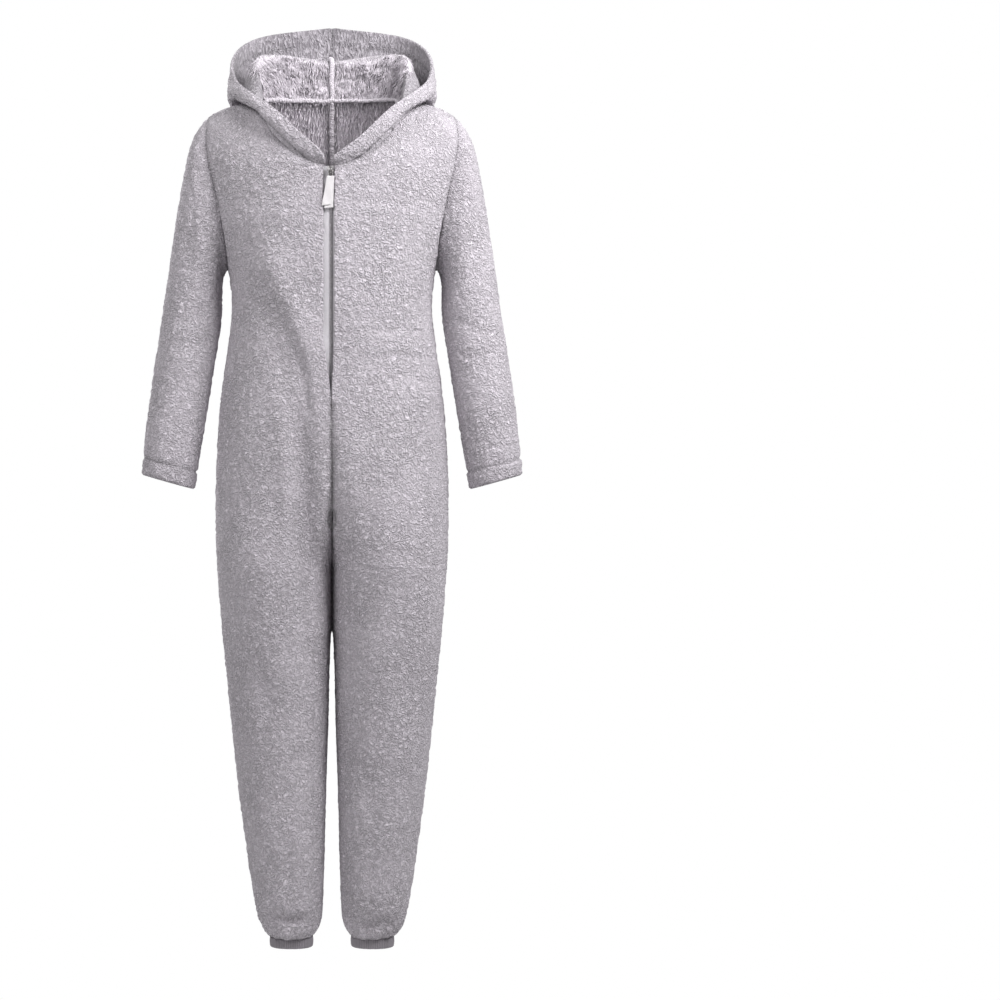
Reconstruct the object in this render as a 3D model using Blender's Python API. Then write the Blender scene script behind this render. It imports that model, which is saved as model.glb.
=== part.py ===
"""A hooded onesie pajama of double-faced curly fleece, filled out as if worn, with no wearer.

Metres, +Z up, the front faces -Y and the wearer's right is at -X. The origin lies between the
shoulders, where the wearer carries the garment. Each cut piece is a closed wall: its outer points
come from tables of sections, and its inner points lie one cloth thickness inside them.
"""
import math

import bmesh
import bpy
import numpy as np
from mathutils import Matrix, Vector, kdtree
from mathutils.bvhtree import BVHTree

# ---- driving dimensions, in metres ----
CLOTH = 0.005             # double-faced fleece with its pile on both sides
SEAM_GAP = 0.0003         # clear distance between two pieces at a seam
FRONT, BACK = -1, 1       # sign of y on each face of the body
LEFT, RIGHT = 1, -1       # sign of x on the wearer's left and right
SIDE_NAMES = {LEFT: "left", RIGHT: "right"}

ROUNDNESS = 2.3           # exponent of the body's oval sections, 2 is an ellipse
EVEN_COLUMNS = 1.15       # draws the columns towards the middle, so they are evenly wide
UNDERARM_Z = -0.290
SHOULDER_TIP_Z = -0.016
SHOULDER_TIP_X = 0.212
CROTCH_Z = -0.800
GROOVE_TOP_Z = -0.600     # where the body begins to part into two legs
LEG_END_Z = -1.4275
WAIST_Z = -0.428          # each front and back is one length of cloth, built in three stretches

NECK_HALF_WIDTH = 0.124
NECK_SIDE_Z = 0.012
NECK_FRONT_Z = -0.122
NECK_BACK_Z = 0.017
RIDGE_Y = 0.005           # the shoulder seam runs just behind the middle
ROLL_OVER = {FRONT: 0.16, BACK: 0.20}   # height in which the body rounds over the shoulder

NECK_COLUMNS = 7
SHOULDER_COLUMNS = 4
COLUMNS = NECK_COLUMNS + SHOULDER_COLUMNS
ARMHOLE_ROWS = 8
TRUNK_STEP = 0.036
LEG_STEP = 0.042
CROTCH_ROWS = 5

ZIP_END_Z = -0.562
ZIP_FADE = 0.014          # length in which the slot closes below the zip
SLOT_EDGE = {LEFT: 0.0030, RIGHT: 0.0142}   # how far each front stops short of the middle

BAND_HEIGHT = 0.0165
BAND_WALL = 0.004
BAND_CENTRE_X = 0.0696
BAND_HALF_WIDTH = 0.0366
BAND_HALF_DEPTH = 0.0352
GATHER_TOP_Z = -1.345
GATHER_DEPTH = 0.0030
COLUMNS_PER_GATHER = 4


def table(header, *rows):
    """A short table: a line of column names, then one row for each section."""
    names = header.split()
    return {name: np.array([row[i] for row in rows], dtype=float) for i, name in enumerate(names)}


# The body's half width, and how far its front and back stand from the middle. Above the underarm
# the width is that of the body as if it had no armhole.
BODY = table(
    "z       half_width front  back",
    (0.060, 0.2500, 0.118, 0.108),
    (-0.016, 0.2500, 0.121, 0.108),
    (-0.079, 0.2380, 0.124, 0.109),
    (-0.120, 0.2260, 0.125, 0.110),
    (-0.163, 0.2140, 0.126, 0.110),
    (-0.220, 0.1980, 0.128, 0.110),
    (-0.260, 0.1860, 0.128, 0.108),
    (-0.290, 0.1780, 0.128, 0.107),
    (-0.305, 0.1745, 0.127, 0.106),
    (-0.356, 0.1720, 0.125, 0.103),
    (-0.428, 0.1806, 0.122, 0.102),
    (-0.500, 0.1910, 0.124, 0.108),
    (-0.573, 0.1970, 0.128, 0.117),
    (-0.650, 0.2006, 0.131, 0.124),
    (-0.722, 0.2004, 0.131, 0.126),
    (-0.765, 0.1995, 0.129, 0.124),
    (-0.800, 0.1975, 0.126, 0.120),
    (-0.851, 0.1935, 0.118, 0.113),
    (-0.906, 0.1892, 0.110, 0.106),
    (-0.980, 0.1823, 0.100, 0.098),
    (-1.066, 0.1730, 0.090, 0.091),
    (-1.152, 0.1640, 0.083, 0.087),
    (-1.238, 0.1530, 0.076, 0.082),
    (-1.324, 0.1410, 0.067, 0.073),
    (-1.367, 0.1330, 0.061, 0.066),
    (-1.396, 0.1270, 0.0555, 0.0590),
    (-1.412, 0.1190, 0.0485, 0.0510),
    (-1.4216, 0.1130, 0.0420, 0.0435),
    (-1.4275, 0.1062, 0.0355, 0.0360),
)
# The inner edge of each leg.
INSEAM = table(
    "z       x",
    (-0.800, 0.0000),
    (-0.825, 0.0016),
    (-0.906, 0.0024),
    (-0.980, 0.0045),
    (-1.066, 0.0056),
    (-1.152, 0.0086),
    (-1.238, 0.0112),
    (-1.324, 0.0131),
    (-1.367, 0.0155),
    (-1.396, 0.0178),
    (-1.412, 0.0215),
    (-1.4216, 0.0272),
    (-1.4275, 0.0330),
)
# The top line of the shoulders, carried on over the neck as if there were no neck opening.
RIDGE = table("x z", (0.0, 0.055), (0.06, 0.042), (0.124, 0.012), (0.160, 0.004), (0.182, 0.0),
              (0.201, -0.0086), (0.212, -0.016), (0.250, -0.055))
ARMHOLE = table("z x", (-0.016, 0.212), (-0.045, 0.2165), (-0.079, 0.2160), (-0.120, 0.2070),
                (-0.163, 0.1965), (-0.220, 0.1860), (-0.260, 0.1805), (-0.290, 0.1780))
SLEEVE_OUTER = table("z x", (-0.016, 0.212), (-0.029, 0.2270), (-0.0396, 0.2348), (-0.067, 0.2460),
                     (-0.115, 0.2554), (-0.163, 0.2649), (-0.2116, 0.2726), (-0.260, 0.2800),
                     (-0.308, 0.2870), (-0.356, 0.2940), (-0.452, 0.3080), (-0.549, 0.3208),
                     (-0.6345, 0.3281))
SLEEVE_INNER = table("z x", (-0.290, 0.1780), (-0.297, 0.1835), (-0.310, 0.1855), (-0.356, 0.1840),
                     (-0.404, 0.1900), (-0.452, 0.1987), (-0.5005, 0.2064), (-0.549, 0.2141),
                     (-0.597, 0.2227), (-0.6605, 0.2328))
# Rings of the sleeve: they fan out from the armhole, then go straight down to the hem.
SLEEVE_RINGS = table(
    "outer_z   inner_z  half_depth middle_y armhole_share",
    (-0.0160, -0.2900, 0.050, 0.0025, 1.00),
    (-0.0340, -0.2935, 0.054, 0.0025, 0.80),
    (-0.0620, -0.2970, 0.058, 0.002, 0.55),
    (-0.1050, -0.3020, 0.061, 0.001, 0.30),
    (-0.1530, -0.3090, 0.062, 0.000, 0.12),
    (-0.2030, -0.3190, 0.062, 0.000, 0.00),
    (-0.2530, -0.3330, 0.061, -0.001, 0.00),
    (-0.3020, -0.3540, 0.060, -0.002, 0.00),
    (-0.3480, -0.3850, 0.059, -0.004, 0.00),
    (-0.3950, -0.4250, 0.058, -0.006, 0.00),
    (-0.4430, -0.4700, 0.056, -0.008, 0.00),
    (-0.4920, -0.5170, 0.054, -0.010, 0.00),
    (-0.5400, -0.5650, 0.052, -0.012, 0.00),
    (-0.5870, -0.6120, 0.050, -0.014, 0.00),
    (-0.6345, -0.6605, 0.049, -0.016, 0.00),
)

# Lines that run round the hood from the centre front to the centre back, each read at the same
# shares of the neckline: the crest of the roll, the bottom of the pouch behind it, the pouch's
# belly, the crease above the belly, and the rim of the face opening.
HOOD_CREST = table("share x y z", (0.00, 0.000, -0.1265, -0.1195), (0.15, 0.0555, -0.1235, -0.1010),
                   (0.30, 0.1015, -0.1085, -0.0600), (0.40, 0.1210, -0.0820, -0.0260),
                   (0.50, 0.1320, -0.0060, 0.0620), (0.60, 0.1260, 0.0380, 0.0880),
                   (0.75, 0.0920, 0.0700, 0.0960), (1.00, 0.0000, 0.0860, 0.0860))
HOOD_POUCH = table("share x y z", (0.00, 0.000, -0.1280, -0.1170), (0.15, 0.0550, -0.1265, -0.0950),
                   (0.30, 0.1035, -0.1125, -0.0525), (0.40, 0.1275, -0.0890, -0.0230),
                   (0.50, 0.1560, -0.0100, 0.0170), (0.60, 0.1560, 0.0640, 0.0000),
                   (0.75, 0.1140, 0.1220, -0.0620), (1.00, 0.0000, 0.1360, -0.1330))
HOOD_BELLY = table("share x y z", (0.00, 0.000, -0.1295, -0.1145), (0.15, 0.0540, -0.1290, -0.0885),
                   (0.30, 0.1045, -0.1150, -0.0440), (0.40, 0.1360, -0.0910, -0.0160),
                   (0.50, 0.1752, -0.0160, 0.0090), (0.60, 0.1795, 0.0680, 0.0080),
                   (0.75, 0.1420, 0.1480, -0.0350), (1.00, 0.0000, 0.1760, -0.0480))
HOOD_CREASE = table("share x y z", (0.00, 0.000, -0.1308, -0.1118), (0.15, 0.0520, -0.1305, -0.0820),
                    (0.30, 0.1035, -0.1150, -0.0340), (0.40, 0.1420, -0.0860, -0.0030),
                    (0.50, 0.1785, -0.0140, 0.0280), (0.60, 0.1810, 0.0640, 0.0420),
                    (0.75, 0.1480, 0.1360, 0.0300), (1.00, 0.0000, 0.1600, 0.0180))
HOOD_RIM = table("share x y z", (0.00, 0.000, -0.1318, -0.1088), (0.15, 0.0490, -0.1310, -0.0750),
                 (0.30, 0.0990, -0.1120, -0.0230), (0.40, 0.1410, -0.0720, 0.0110),
                 (0.50, 0.1670, -0.0060, 0.0420), (0.60, 0.1780, 0.0480, 0.0830),
                 (0.75, 0.1500, 0.1210, 0.1360), (1.00, 0.0000, 0.1480, 0.1650))
HOOD_STEPS = 3            # rows between two of these lines
HOOD_REST = 0.006         # the hood's underside stays this far above the shoulders

# The largest folds: a line from (x0, z0) to (x1, z1) on the front or back, its half width, and
# how far it stands out (+) or sinks in (-).
FOLD_COLUMNS = "x0 z0 x1 z1 width rise"
FOLDS = {
    ("body", FRONT): table(
        FOLD_COLUMNS,
        (-0.103, -0.285, -0.045, -0.420, 0.024, 0.009),
        (-0.045, -0.420, -0.030, -0.500, 0.022, 0.006),
        (-0.095, -0.360, -0.048, -0.483, 0.024, -0.008),
        (-0.053, -0.560, -0.040, -0.680, 0.022, -0.008),
        (-0.036, -0.680, -0.036, -0.840, 0.018, -0.006),
        (0.070, -0.390, 0.165, -0.372, 0.014, -0.004),
        (0.080, -0.430, 0.160, -0.420, 0.014, 0.004),
        (0.060, -0.470, 0.150, -0.455, 0.014, -0.004),
        (0.000, -0.590, 0.000, -0.900, 0.013, -0.009),
        (0.045, -0.640, 0.075, -0.780, 0.024, 0.005),
        (0.160, -0.990, 0.090, -1.060, 0.022, -0.006),
        (-0.160, -0.970, -0.080, -1.040, 0.022, -0.006),
        (0.030, -1.100, 0.090, -1.180, 0.022, -0.005),
        (-0.030, -1.120, -0.090, -1.190, 0.022, -0.005),
        (0.125, -1.270, 0.050, -1.320, 0.020, -0.005),
        (-0.125, -1.280, -0.050, -1.330, 0.020, -0.005),
    ),
    ("body", BACK): table(
        FOLD_COLUMNS,
        (-0.150, -0.300, -0.070, -0.420, 0.022, -0.007),
        (0.150, -0.300, 0.080, -0.430, 0.022, -0.007),
        (-0.110, -0.300, -0.050, -0.400, 0.020, 0.006),
        (0.028, -0.200, 0.024, -0.560, 0.018, -0.006),
        (-0.020, -0.620, -0.060, -0.760, 0.024, 0.006),
        (0.000, -0.640, 0.000, -0.900, 0.013, -0.008),
        (0.150, -0.960, 0.060, -1.040, 0.022, -0.007),
        (-0.150, -0.980, -0.060, -1.060, 0.022, -0.007),
        (0.140, -1.060, 0.060, -1.130, 0.020, 0.005),
        (-0.140, -1.080, -0.060, -1.150, 0.020, 0.005),
        (0.120, -1.260, 0.040, -1.310, 0.020, -0.005),
        (-0.120, -1.250, -0.040, -1.300, 0.020, -0.005),
    ),
    ("sleeve", FRONT): table(
        FOLD_COLUMNS,
        (0.185, -0.330, 0.250, -0.290, 0.020, -0.007),
        (0.190, -0.390, 0.275, -0.360, 0.018, -0.006),
        (0.200, -0.440, 0.290, -0.470, 0.018, -0.004),
        (-0.185, -0.340, -0.255, -0.300, 0.020, -0.007),
        (-0.195, -0.400, -0.280, -0.380, 0.018, -0.006),
        (-0.205, -0.500, -0.295, -0.470, 0.018, -0.004),
    ),
    ("sleeve", BACK): table(
        FOLD_COLUMNS,
        (0.185, -0.340, 0.260, -0.300, 0.020, -0.006),
        (0.200, -0.420, 0.285, -0.400, 0.018, -0.006),
        (-0.185, -0.350, -0.260, -0.310, 0.020, -0.006),
        (-0.200, -0.430, -0.290, -0.400, 0.018, -0.006),
    ),
}
FOLD_FADE = 0.035         # a fold dies out this far from the side seam

FLEECE = (0.497, 0.462, 0.494)
RIB_KNIT = (0.165, 0.155, 0.165)
TAPE = (0.640, 0.610, 0.640)
DARK_METAL = (0.180, 0.170, 0.180)
PALE_STRAP = (0.760, 0.730, 0.750)


def smooth(source, column, at, key="z"):
    """Read a column of a table at any place along its key, on a smooth curve through its rows."""
    keys = source[key]
    values = source[column]
    if keys[0] > keys[-1]:
        keys = keys[::-1]
        values = values[::-1]
    if at <= keys[0]:
        return float(values[0])
    if at >= keys[-1]:
        return float(values[-1])
    slopes = np.gradient(values, keys)
    i = int(np.searchsorted(keys, at)) - 1
    span = keys[i + 1] - keys[i]
    t = (at - keys[i]) / span
    return float((2 * t**3 - 3 * t**2 + 1) * values[i] + (t**3 - 2 * t**2 + t) * span * slopes[i]
                 + (3 * t**2 - 2 * t**3) * values[i + 1] + (t**3 - t**2) * span * slopes[i + 1])


def ease(t):
    """0 below 0, 1 above 1 and smooth between."""
    t = min(max(t, 0.0), 1.0)
    return t * t * (3 - 2 * t)


def blend(first, second, share):
    return first + (second - first) * share


def oval(angle):
    """Sine and cosine of a rounded oval of the body."""
    power = 2 / ROUNDNESS
    sine, cosine = math.sin(angle), math.cos(angle)
    return (math.copysign(abs(sine) ** power, sine), math.copysign(abs(cosine) ** power, cosine))


# ---- the body's outer surface ----
def body_column(face):
    return "front" if face == FRONT else "back"


def slot_edge(side, face, z):
    """How far a front stops short of the middle to make room for the zip."""
    if face == BACK:
        return 0.0
    return SLOT_EDGE[side] * ease((z - ZIP_END_Z + ZIP_FADE) / ZIP_FADE)


def body_y(face, x, z):
    """Depth of the upper body at a place seen from the front, rounding over the shoulder."""
    half_width = smooth(BODY, "half_width", z)
    depth = smooth(BODY, body_column(face), z)
    depth *= max(0.0, 1 - (abs(x) / half_width) ** ROUNDNESS) ** (1 / ROUNDNESS)
    drop = max(0.0, smooth(RIDGE, "z", abs(x), key="x") - z)
    level = min(drop / ROLL_OVER[face], 1.0)
    rounding = math.sqrt(max(0.0, 1 - (1 - level) ** 2))
    return RIDGE_Y * (1 - rounding) + face * depth * rounding


def trunk_row(side, face, z):
    """One level row below the underarm, from the middle to the side seam or round a leg."""
    half_width = smooth(BODY, "half_width", z)
    depth = smooth(BODY, body_column(face), z)
    inner = smooth(INSEAM, "x", z)
    edge = slot_edge(side, face, z)
    level = min(max((GROOVE_TOP_Z - z) / (GROOVE_TOP_Z - CROTCH_Z), 0.0), 1.0)
    seam_parted = 1 - math.sqrt(1 - level**2)
    start = math.asin((edge / half_width) ** (ROUNDNESS / 2))
    row = []
    for column in range(COLUMNS + 1):
        share = column / COLUMNS
        sine, cosine = oval(blend(start, math.pi / 2, share**EVEN_COLUMNS))
        trunk = (half_width * sine, depth * cosine)
        leg_half = (half_width - inner) / 2
        sine, cosine = oval(math.pi * share)
        leg = (inner + leg_half * (1 - cosine), depth * sine)
        parted = blend(seam_parted, ease(level), ease(2 * share))
        x = blend(trunk[0], leg[0], parted)
        y = blend(trunk[1], leg[1], parted)
        row.append((side * x, face * y, z))
    return row


def neck_edge(side, face, column):
    """A place on the neckline as seen from the front."""
    start = math.asin(slot_edge(side, face, 0.0) / NECK_HALF_WIDTH)
    angle = blend(start, math.pi / 2, column / NECK_COLUMNS)
    x = NECK_HALF_WIDTH * math.sin(angle)
    if face == FRONT:
        return x, NECK_SIDE_Z - (NECK_SIDE_Z - NECK_FRONT_Z) * math.cos(angle)
    return x, blend(NECK_BACK_Z, NECK_SIDE_Z, math.sin(angle) ** 2)


def top_edge(side, face, column):
    """A place on the neckline and then the shoulder seam."""
    if column <= NECK_COLUMNS:
        return neck_edge(side, face, column)
    share = (column - NECK_COLUMNS) / SHOULDER_COLUMNS
    x = blend(NECK_HALF_WIDTH, SHOULDER_TIP_X, share)
    return x, smooth(RIDGE, "z", x, key="x")


def chest_row(side, face, level):
    """One row between the underarm (level 0) and the neck and shoulder (level 1)."""
    armhole_z = blend(UNDERARM_Z, SHOULDER_TIP_Z, level)
    armhole = (smooth(ARMHOLE, "x", armhole_z), armhole_z)
    bottom = [(abs(x), z) for x, _, z in trunk_row(side, face, UNDERARM_Z)]
    top = [top_edge(side, face, column) for column in range(COLUMNS + 1)]
    middle = (slot_edge(side, face, 0.0), blend(bottom[0][1], top[0][1], level))
    row = []
    for column in range(COLUMNS + 1):
        share = column / COLUMNS
        place = []
        for axis in (0, 1):
            across = blend(middle[axis], armhole[axis], share)
            along = blend(bottom[column][axis], top[column][axis], level)
            corner = blend(blend(bottom[0][axis], bottom[-1][axis], share),
                           blend(top[0][axis], top[-1][axis], share), level)
            place.append(across + along - corner)
        x, z = place
        row.append((side * x, body_y(face, x, z), z))
    return row


def leg_gathers(row, side):
    """Twice the columns, drawn into small waves where the leg is gathered onto its band."""
    points = [Vector(point) for point in row]
    fine = []
    for first, second in zip(points, points[1:]):
        fine += [first, (first + second) / 2]
    fine.append(points[-1])
    depth = GATHER_DEPTH * ease((GATHER_TOP_Z - row[0][2]) / (GATHER_TOP_Z - LEG_END_Z))
    centre = Vector((side * BAND_CENTRE_X, 0.0, row[0][2]))
    waved = []
    for i, point in enumerate(fine):
        wave = math.cos(2 * math.pi * i / COLUMNS_PER_GATHER)
        outward = (point - centre).normalized()
        waved.append(tuple(point + outward * depth * wave))
    return waved


def armhole_level(row):
    """Height of a row above the underarm, as a share: rows are closer at both ends."""
    share = row / ARMHOLE_ROWS
    return ((1 + math.cos(math.pi * share)) / 2 + 1 - share) / 2


def body_rows(side, face):
    """All rows of one body panel, from the neck to the ankle."""
    rows = [chest_row(side, face, armhole_level(i)) for i in range(ARMHOLE_ROWS)]
    steps = round((UNDERARM_Z - GROOVE_TOP_Z) / TRUNK_STEP)
    heights = [blend(UNDERARM_Z, GROOVE_TOP_Z, i / steps) for i in range(steps)]
    for i in range(CROTCH_ROWS + 1):
        turn = math.sin(math.pi / 2 * i / CROTCH_ROWS)
        heights.append(blend(GROOVE_TOP_Z, CROTCH_Z, turn))
    steps = round((CROTCH_Z - GATHER_TOP_Z) / LEG_STEP)
    heights += [blend(CROTCH_Z, GATHER_TOP_Z, i / steps) for i in range(1, steps + 1)]
    rows += [trunk_row(side, face, z) for z in heights]
    for z in (-1.372, -1.396, -1.413, LEG_END_Z):
        rows.append(leg_gathers(trunk_row(side, face, z), side))
    return rows


# ---- the sleeves ----
def sleeve_rows(side, panels):
    """Rings from the armhole, whose points the body panels share, down to the hem."""
    front = [row[-1] for row in panels[side, FRONT][:ARMHOLE_ROWS + 1]]
    back = [row[-1] for row in panels[side, BACK][:ARMHOLE_ROWS + 1]]
    armhole = [Vector(point) for point in front + back[-2:0:-1]]
    angles = [math.acos(2 * armhole_level(i) - 1) for i in range(ARMHOLE_ROWS + 1)]
    angles += [-angle for angle in angles[-2:0:-1]]
    rows = []
    armhole_offsets = None
    rings = SLEEVE_RINGS
    for i in range(len(rings["outer_z"])):
        outer_z, inner_z = rings["outer_z"][i], rings["inner_z"][i]
        middle_y = rings["middle_y"][i]
        outer = Vector((side * smooth(SLEEVE_OUTER, "x", outer_z), middle_y, outer_z))
        inner = Vector((side * smooth(SLEEVE_INNER, "x", inner_z), middle_y, inner_z))
        ring = []
        for angle in angles:
            forward = Vector((0.0, FRONT * rings["half_depth"][i] * math.sin(angle), 0.0))
            ring.append((outer + inner) / 2 + (outer - inner) / 2 * math.cos(angle) + forward)
        if armhole_offsets is None:
            armhole_offsets = [place - point for place, point in zip(armhole, ring)]
        share = rings["armhole_share"][i]
        rows.append([tuple(point + offset * share) for point, offset in zip(ring, armhole_offsets)])
    return rows


# ---- the hood ----
def through(points, steps):
    """Points on a smooth curve through a few places, with so many steps between two of them."""
    padded = [2 * points[0] - points[1]] + points + [2 * points[-1] - points[-2]]
    curve = []
    for i in range(1, len(padded) - 2):
        a, b, c, d = padded[i - 1:i + 3]
        for k in range(steps):
            t = k / steps
            curve.append(0.5 * (2 * b + (c - a) * t + (2 * a - 5 * b + 4 * c - d) * t**2
                                + (3 * b - a - 3 * c + d) * t**3))
    curve.append(points[-1])
    return curve


def shoulder_height(x, y):
    """Height of the body's top surface under a place, or None beyond its front and back."""
    face = FRONT if y < RIDGE_Y else BACK
    ridge = smooth(RIDGE, "z", abs(x), key="x")
    depth = smooth(BODY, body_column(face), ridge)
    half_width = smooth(BODY, "half_width", ridge)
    depth *= max(0.0, 1 - (abs(x) / half_width) ** ROUNDNESS) ** (1 / ROUNDNESS)
    away = abs(y - RIDGE_Y)
    if away >= depth:
        return None
    return ridge - ROLL_OVER[face] * (1 - math.sqrt(1 - (away / depth) ** 2))


def hood_rows(side, panels):
    """Rows that start on the neckline and go over the roll, round the pouch and up to the rim."""
    neck = list(panels[side, FRONT][0][:NECK_COLUMNS + 1])
    neck += list(panels[side, BACK][0][NECK_COLUMNS - 1::-1])
    stations = len(neck) - 1
    rows = []
    for i, start in enumerate(neck):
        share = i / stations
        edge = slot_edge(side, FRONT, 0.0) * (1 - ease(share / 0.15))
        places = [Vector(start)]
        for line in (HOOD_CREST, HOOD_POUCH, HOOD_BELLY, HOOD_CREASE, HOOD_RIM):
            x, y, z = (smooth(line, axis, share, key="share") for axis in "xyz")
            places.append(Vector((side * max(x, edge), y, z)))
        if i == stations:
            for place in places:
                place.x = 0.0
        curve = through(places, HOOD_STEPS)
        for place in curve[2:]:
            height = shoulder_height(place.x, place.y)
            if height is not None:
                place.z = max(place.z, height + HOOD_REST)
        rows.append([tuple(place) for place in curve])
    return rows


# ---- from an outer surface to a closed wall ----
def sheet_faces(rows, closed):
    """Faces between rows of equal length, or from one row to the next with twice the columns."""
    starts = np.cumsum([0] + [len(row) for row in rows])
    faces = []
    for i in range(len(rows) - 1):
        upper = [starts[i] + k for k in range(len(rows[i]))]
        lower = [starts[i + 1] + k for k in range(len(rows[i + 1]))]
        if closed:
            upper.append(upper[0])
            lower.append(lower[0])
        for k in range(len(upper) - 1):
            if len(upper) == len(lower):
                faces.append((upper[k], lower[k], lower[k + 1], upper[k + 1]))
            else:
                faces.append((upper[k], lower[2 * k], lower[2 * k + 1]))
                faces.append((upper[k], lower[2 * k + 1], upper[k + 1]))
                faces.append((upper[k + 1], lower[2 * k + 1], lower[2 * k + 2]))
    return [tuple(int(i) for i in face) for face in faces]


def face_normal(points):
    a, b, c = points[:3]
    d = points[3] if len(points) == 4 else a
    return (c - a).cross(d - b) if len(points) == 4 else (b - a).cross(c - a)


class Sheet:
    """The outer surface of one piece: its rows, and whether a row closes on itself."""

    def __init__(self, name, part, rows, closed=False, flip=False):
        self.name = name
        self.part = part
        self.rows = rows
        self.closed = closed
        self.flip = flip
        self.faces = [face[::-1] if flip else face for face in sheet_faces(rows, closed)]

    def points(self):
        return [Vector(point) for row in self.rows for point in row]

    def reshape(self, points):
        """Take new points in the same order."""
        rows = []
        start = 0
        for row in self.rows:
            rows.append([tuple(point) for point in points[start:start + len(row)]])
            start += len(row)
        self.rows = rows


def shared_normals(sheets):
    """Normals of all the sheets' points, where points that meet at a seam share one normal."""
    points, sums, spans = [], [], []
    for sheet in sheets:
        own = sheet.points()
        normals = [Vector() for _ in own]
        for face in sheet.faces:
            normal = face_normal([own[i] for i in face])
            for i in face:
                normals[i] += normal.normalized()
        spans.append((len(points), len(points) + len(own)))
        points += own
        sums += normals
    tree = kdtree.KDTree(len(points))
    for i, point in enumerate(points):
        tree.insert(point, i)
    tree.balance()
    near = 0.00002
    shared = []
    for i, point in enumerate(points):
        total = Vector()
        for _, j, _ in tree.find_range(point, near):
            total += sums[j]
        shared.append(total.normalized())
    return [shared[first:last] for first, last in spans]


def fold_rise(part, point):
    """How far the folds lift or sink the cloth at a point."""
    face = FRONT if point.y < 0 else BACK
    folds = FOLDS.get((part, face))
    if folds is None:
        return 0.0
    total = 0.0
    for x0, z0, x1, z1, width, rise in zip(*(folds[name] for name in FOLD_COLUMNS.split())):
        run = Vector((x1 - x0, z1 - z0))
        offset = Vector((point.x - x0, point.z - z0))
        along = min(max(offset.dot(run) / run.dot(run), 0.0), 1.0)
        distance = (offset - run * along).length
        total += rise * math.exp(-((distance / width) ** 2))
    return total * ease(abs(point.y) / FOLD_FADE)


def pulled_in(rows, closed, all_edges):
    """The same rows with the edges drawn in by half a seam gap."""
    half = SEAM_GAP / 2
    drawn = [[Vector(point) for point in row] for row in rows]
    for edge, inside in ((0, 1), (-1, -2)):
        if edge == -1 and not all_edges:
            continue
        step = (len(rows[inside]) - 1) / max(len(rows[edge]) - 1, 1)
        for k, point in enumerate(rows[edge]):
            target = Vector(rows[inside][min(round(k * step), len(rows[inside]) - 1)])
            drawn[edge][k] += (target - Vector(point)).normalized() * half
    if not closed:
        for i, row in enumerate(rows):
            for edge, inside in ((0, 1), (-1, -2)):
                drawn[i][edge] += (Vector(row[inside]) - Vector(row[edge])).normalized() * half
    return drawn


def material(name, colour, roughness, metallic=0.0):
    made = bpy.data.materials.get(name)
    if made is None:
        made = bpy.data.materials.new(name)
        made.use_nodes = True
        shader = made.node_tree.nodes["Principled BSDF"]
        shader.inputs["Base Color"].default_value = (*colour, 1.0)
        shader.inputs["Roughness"].default_value = roughness
        shader.inputs["Metallic"].default_value = metallic
    return made


def add_object(name, points, faces, finish):
    """A named object whose closed mesh has all its faces pointing out."""
    mesh = bpy.data.meshes.new(name)
    mesh.from_pydata([tuple(point) for point in points], [], faces)
    shape = bmesh.new()
    shape.from_mesh(mesh)
    bmesh.ops.recalc_face_normals(shape, faces=shape.faces)
    shape.to_mesh(mesh)
    shape.free()
    mesh.materials.append(finish)
    placed = bpy.data.objects.new(name, mesh)
    bpy.context.scene.collection.objects.link(placed)
    return placed


def rim_triangles(points, a, b, count):
    """Two triangles of a rim; pieces that share a seam split its quads along the same diagonal."""
    def height(i):
        return tuple(round(value, 3) for value in (points[i].z, points[i].y, points[i].x))
    if height(a) < height(b):
        return [(a, b, b + count), (a, b + count, a + count)]
    return [(a, b, a + count), (b, b + count, a + count)]


def wall(name, outer_rows, inner_rows, closed, finish, all_edges=True):
    """A closed wall between an outer and an inner sheet, with a rim along each free edge."""
    outer = pulled_in(outer_rows, closed, all_edges)
    inner = pulled_in(inner_rows, closed, all_edges)
    points = [point for row in outer for point in row]
    count = len(points)
    points += [point for row in inner for point in row]
    sheet = sheet_faces(outer_rows, closed)
    faces = sheet + [tuple(i + count for i in face[::-1]) for face in sheet]
    starts = [int(i) for i in np.cumsum([0] + [len(row) for row in outer_rows])]
    borders = []
    for i in (0, len(outer_rows) - 1):
        border = list(range(starts[i], starts[i + 1]))
        borders.append(border + [border[0]] if closed else border)
    if not closed:
        borders.append([start for start in starts[:-1]])
        borders.append([end - 1 for end in starts[1:]])
    for border in borders:
        for a, b in zip(border, border[1:]):
            faces += rim_triangles(points, a, b, count)
    shaded = add_object(name, points, faces, finish)
    shaded.data.shade_smooth()
    return shaded


def inner_rows(sheet, normals, thickness):
    """Points one cloth thickness inside a sheet; at a crease they go as deep as the walls need."""
    points = sheet.points()
    facing = [0.0] * len(points)
    counts = [0] * len(points)
    for face in sheet.faces:
        normal = face_normal([points[i] for i in face]).normalized()
        for i in face:
            facing[i] += normal.dot(normals[i])
            counts[i] += 1
    moved = []
    for point, normal, total, count in zip(points, normals, facing, counts):
        depth = thickness / max(total / count, 0.8)
        moved.append(point - normal * depth)
    copy = Sheet(sheet.name, sheet.part, sheet.rows, sheet.closed, sheet.flip)
    copy.reshape(moved)
    return copy.rows


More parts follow.
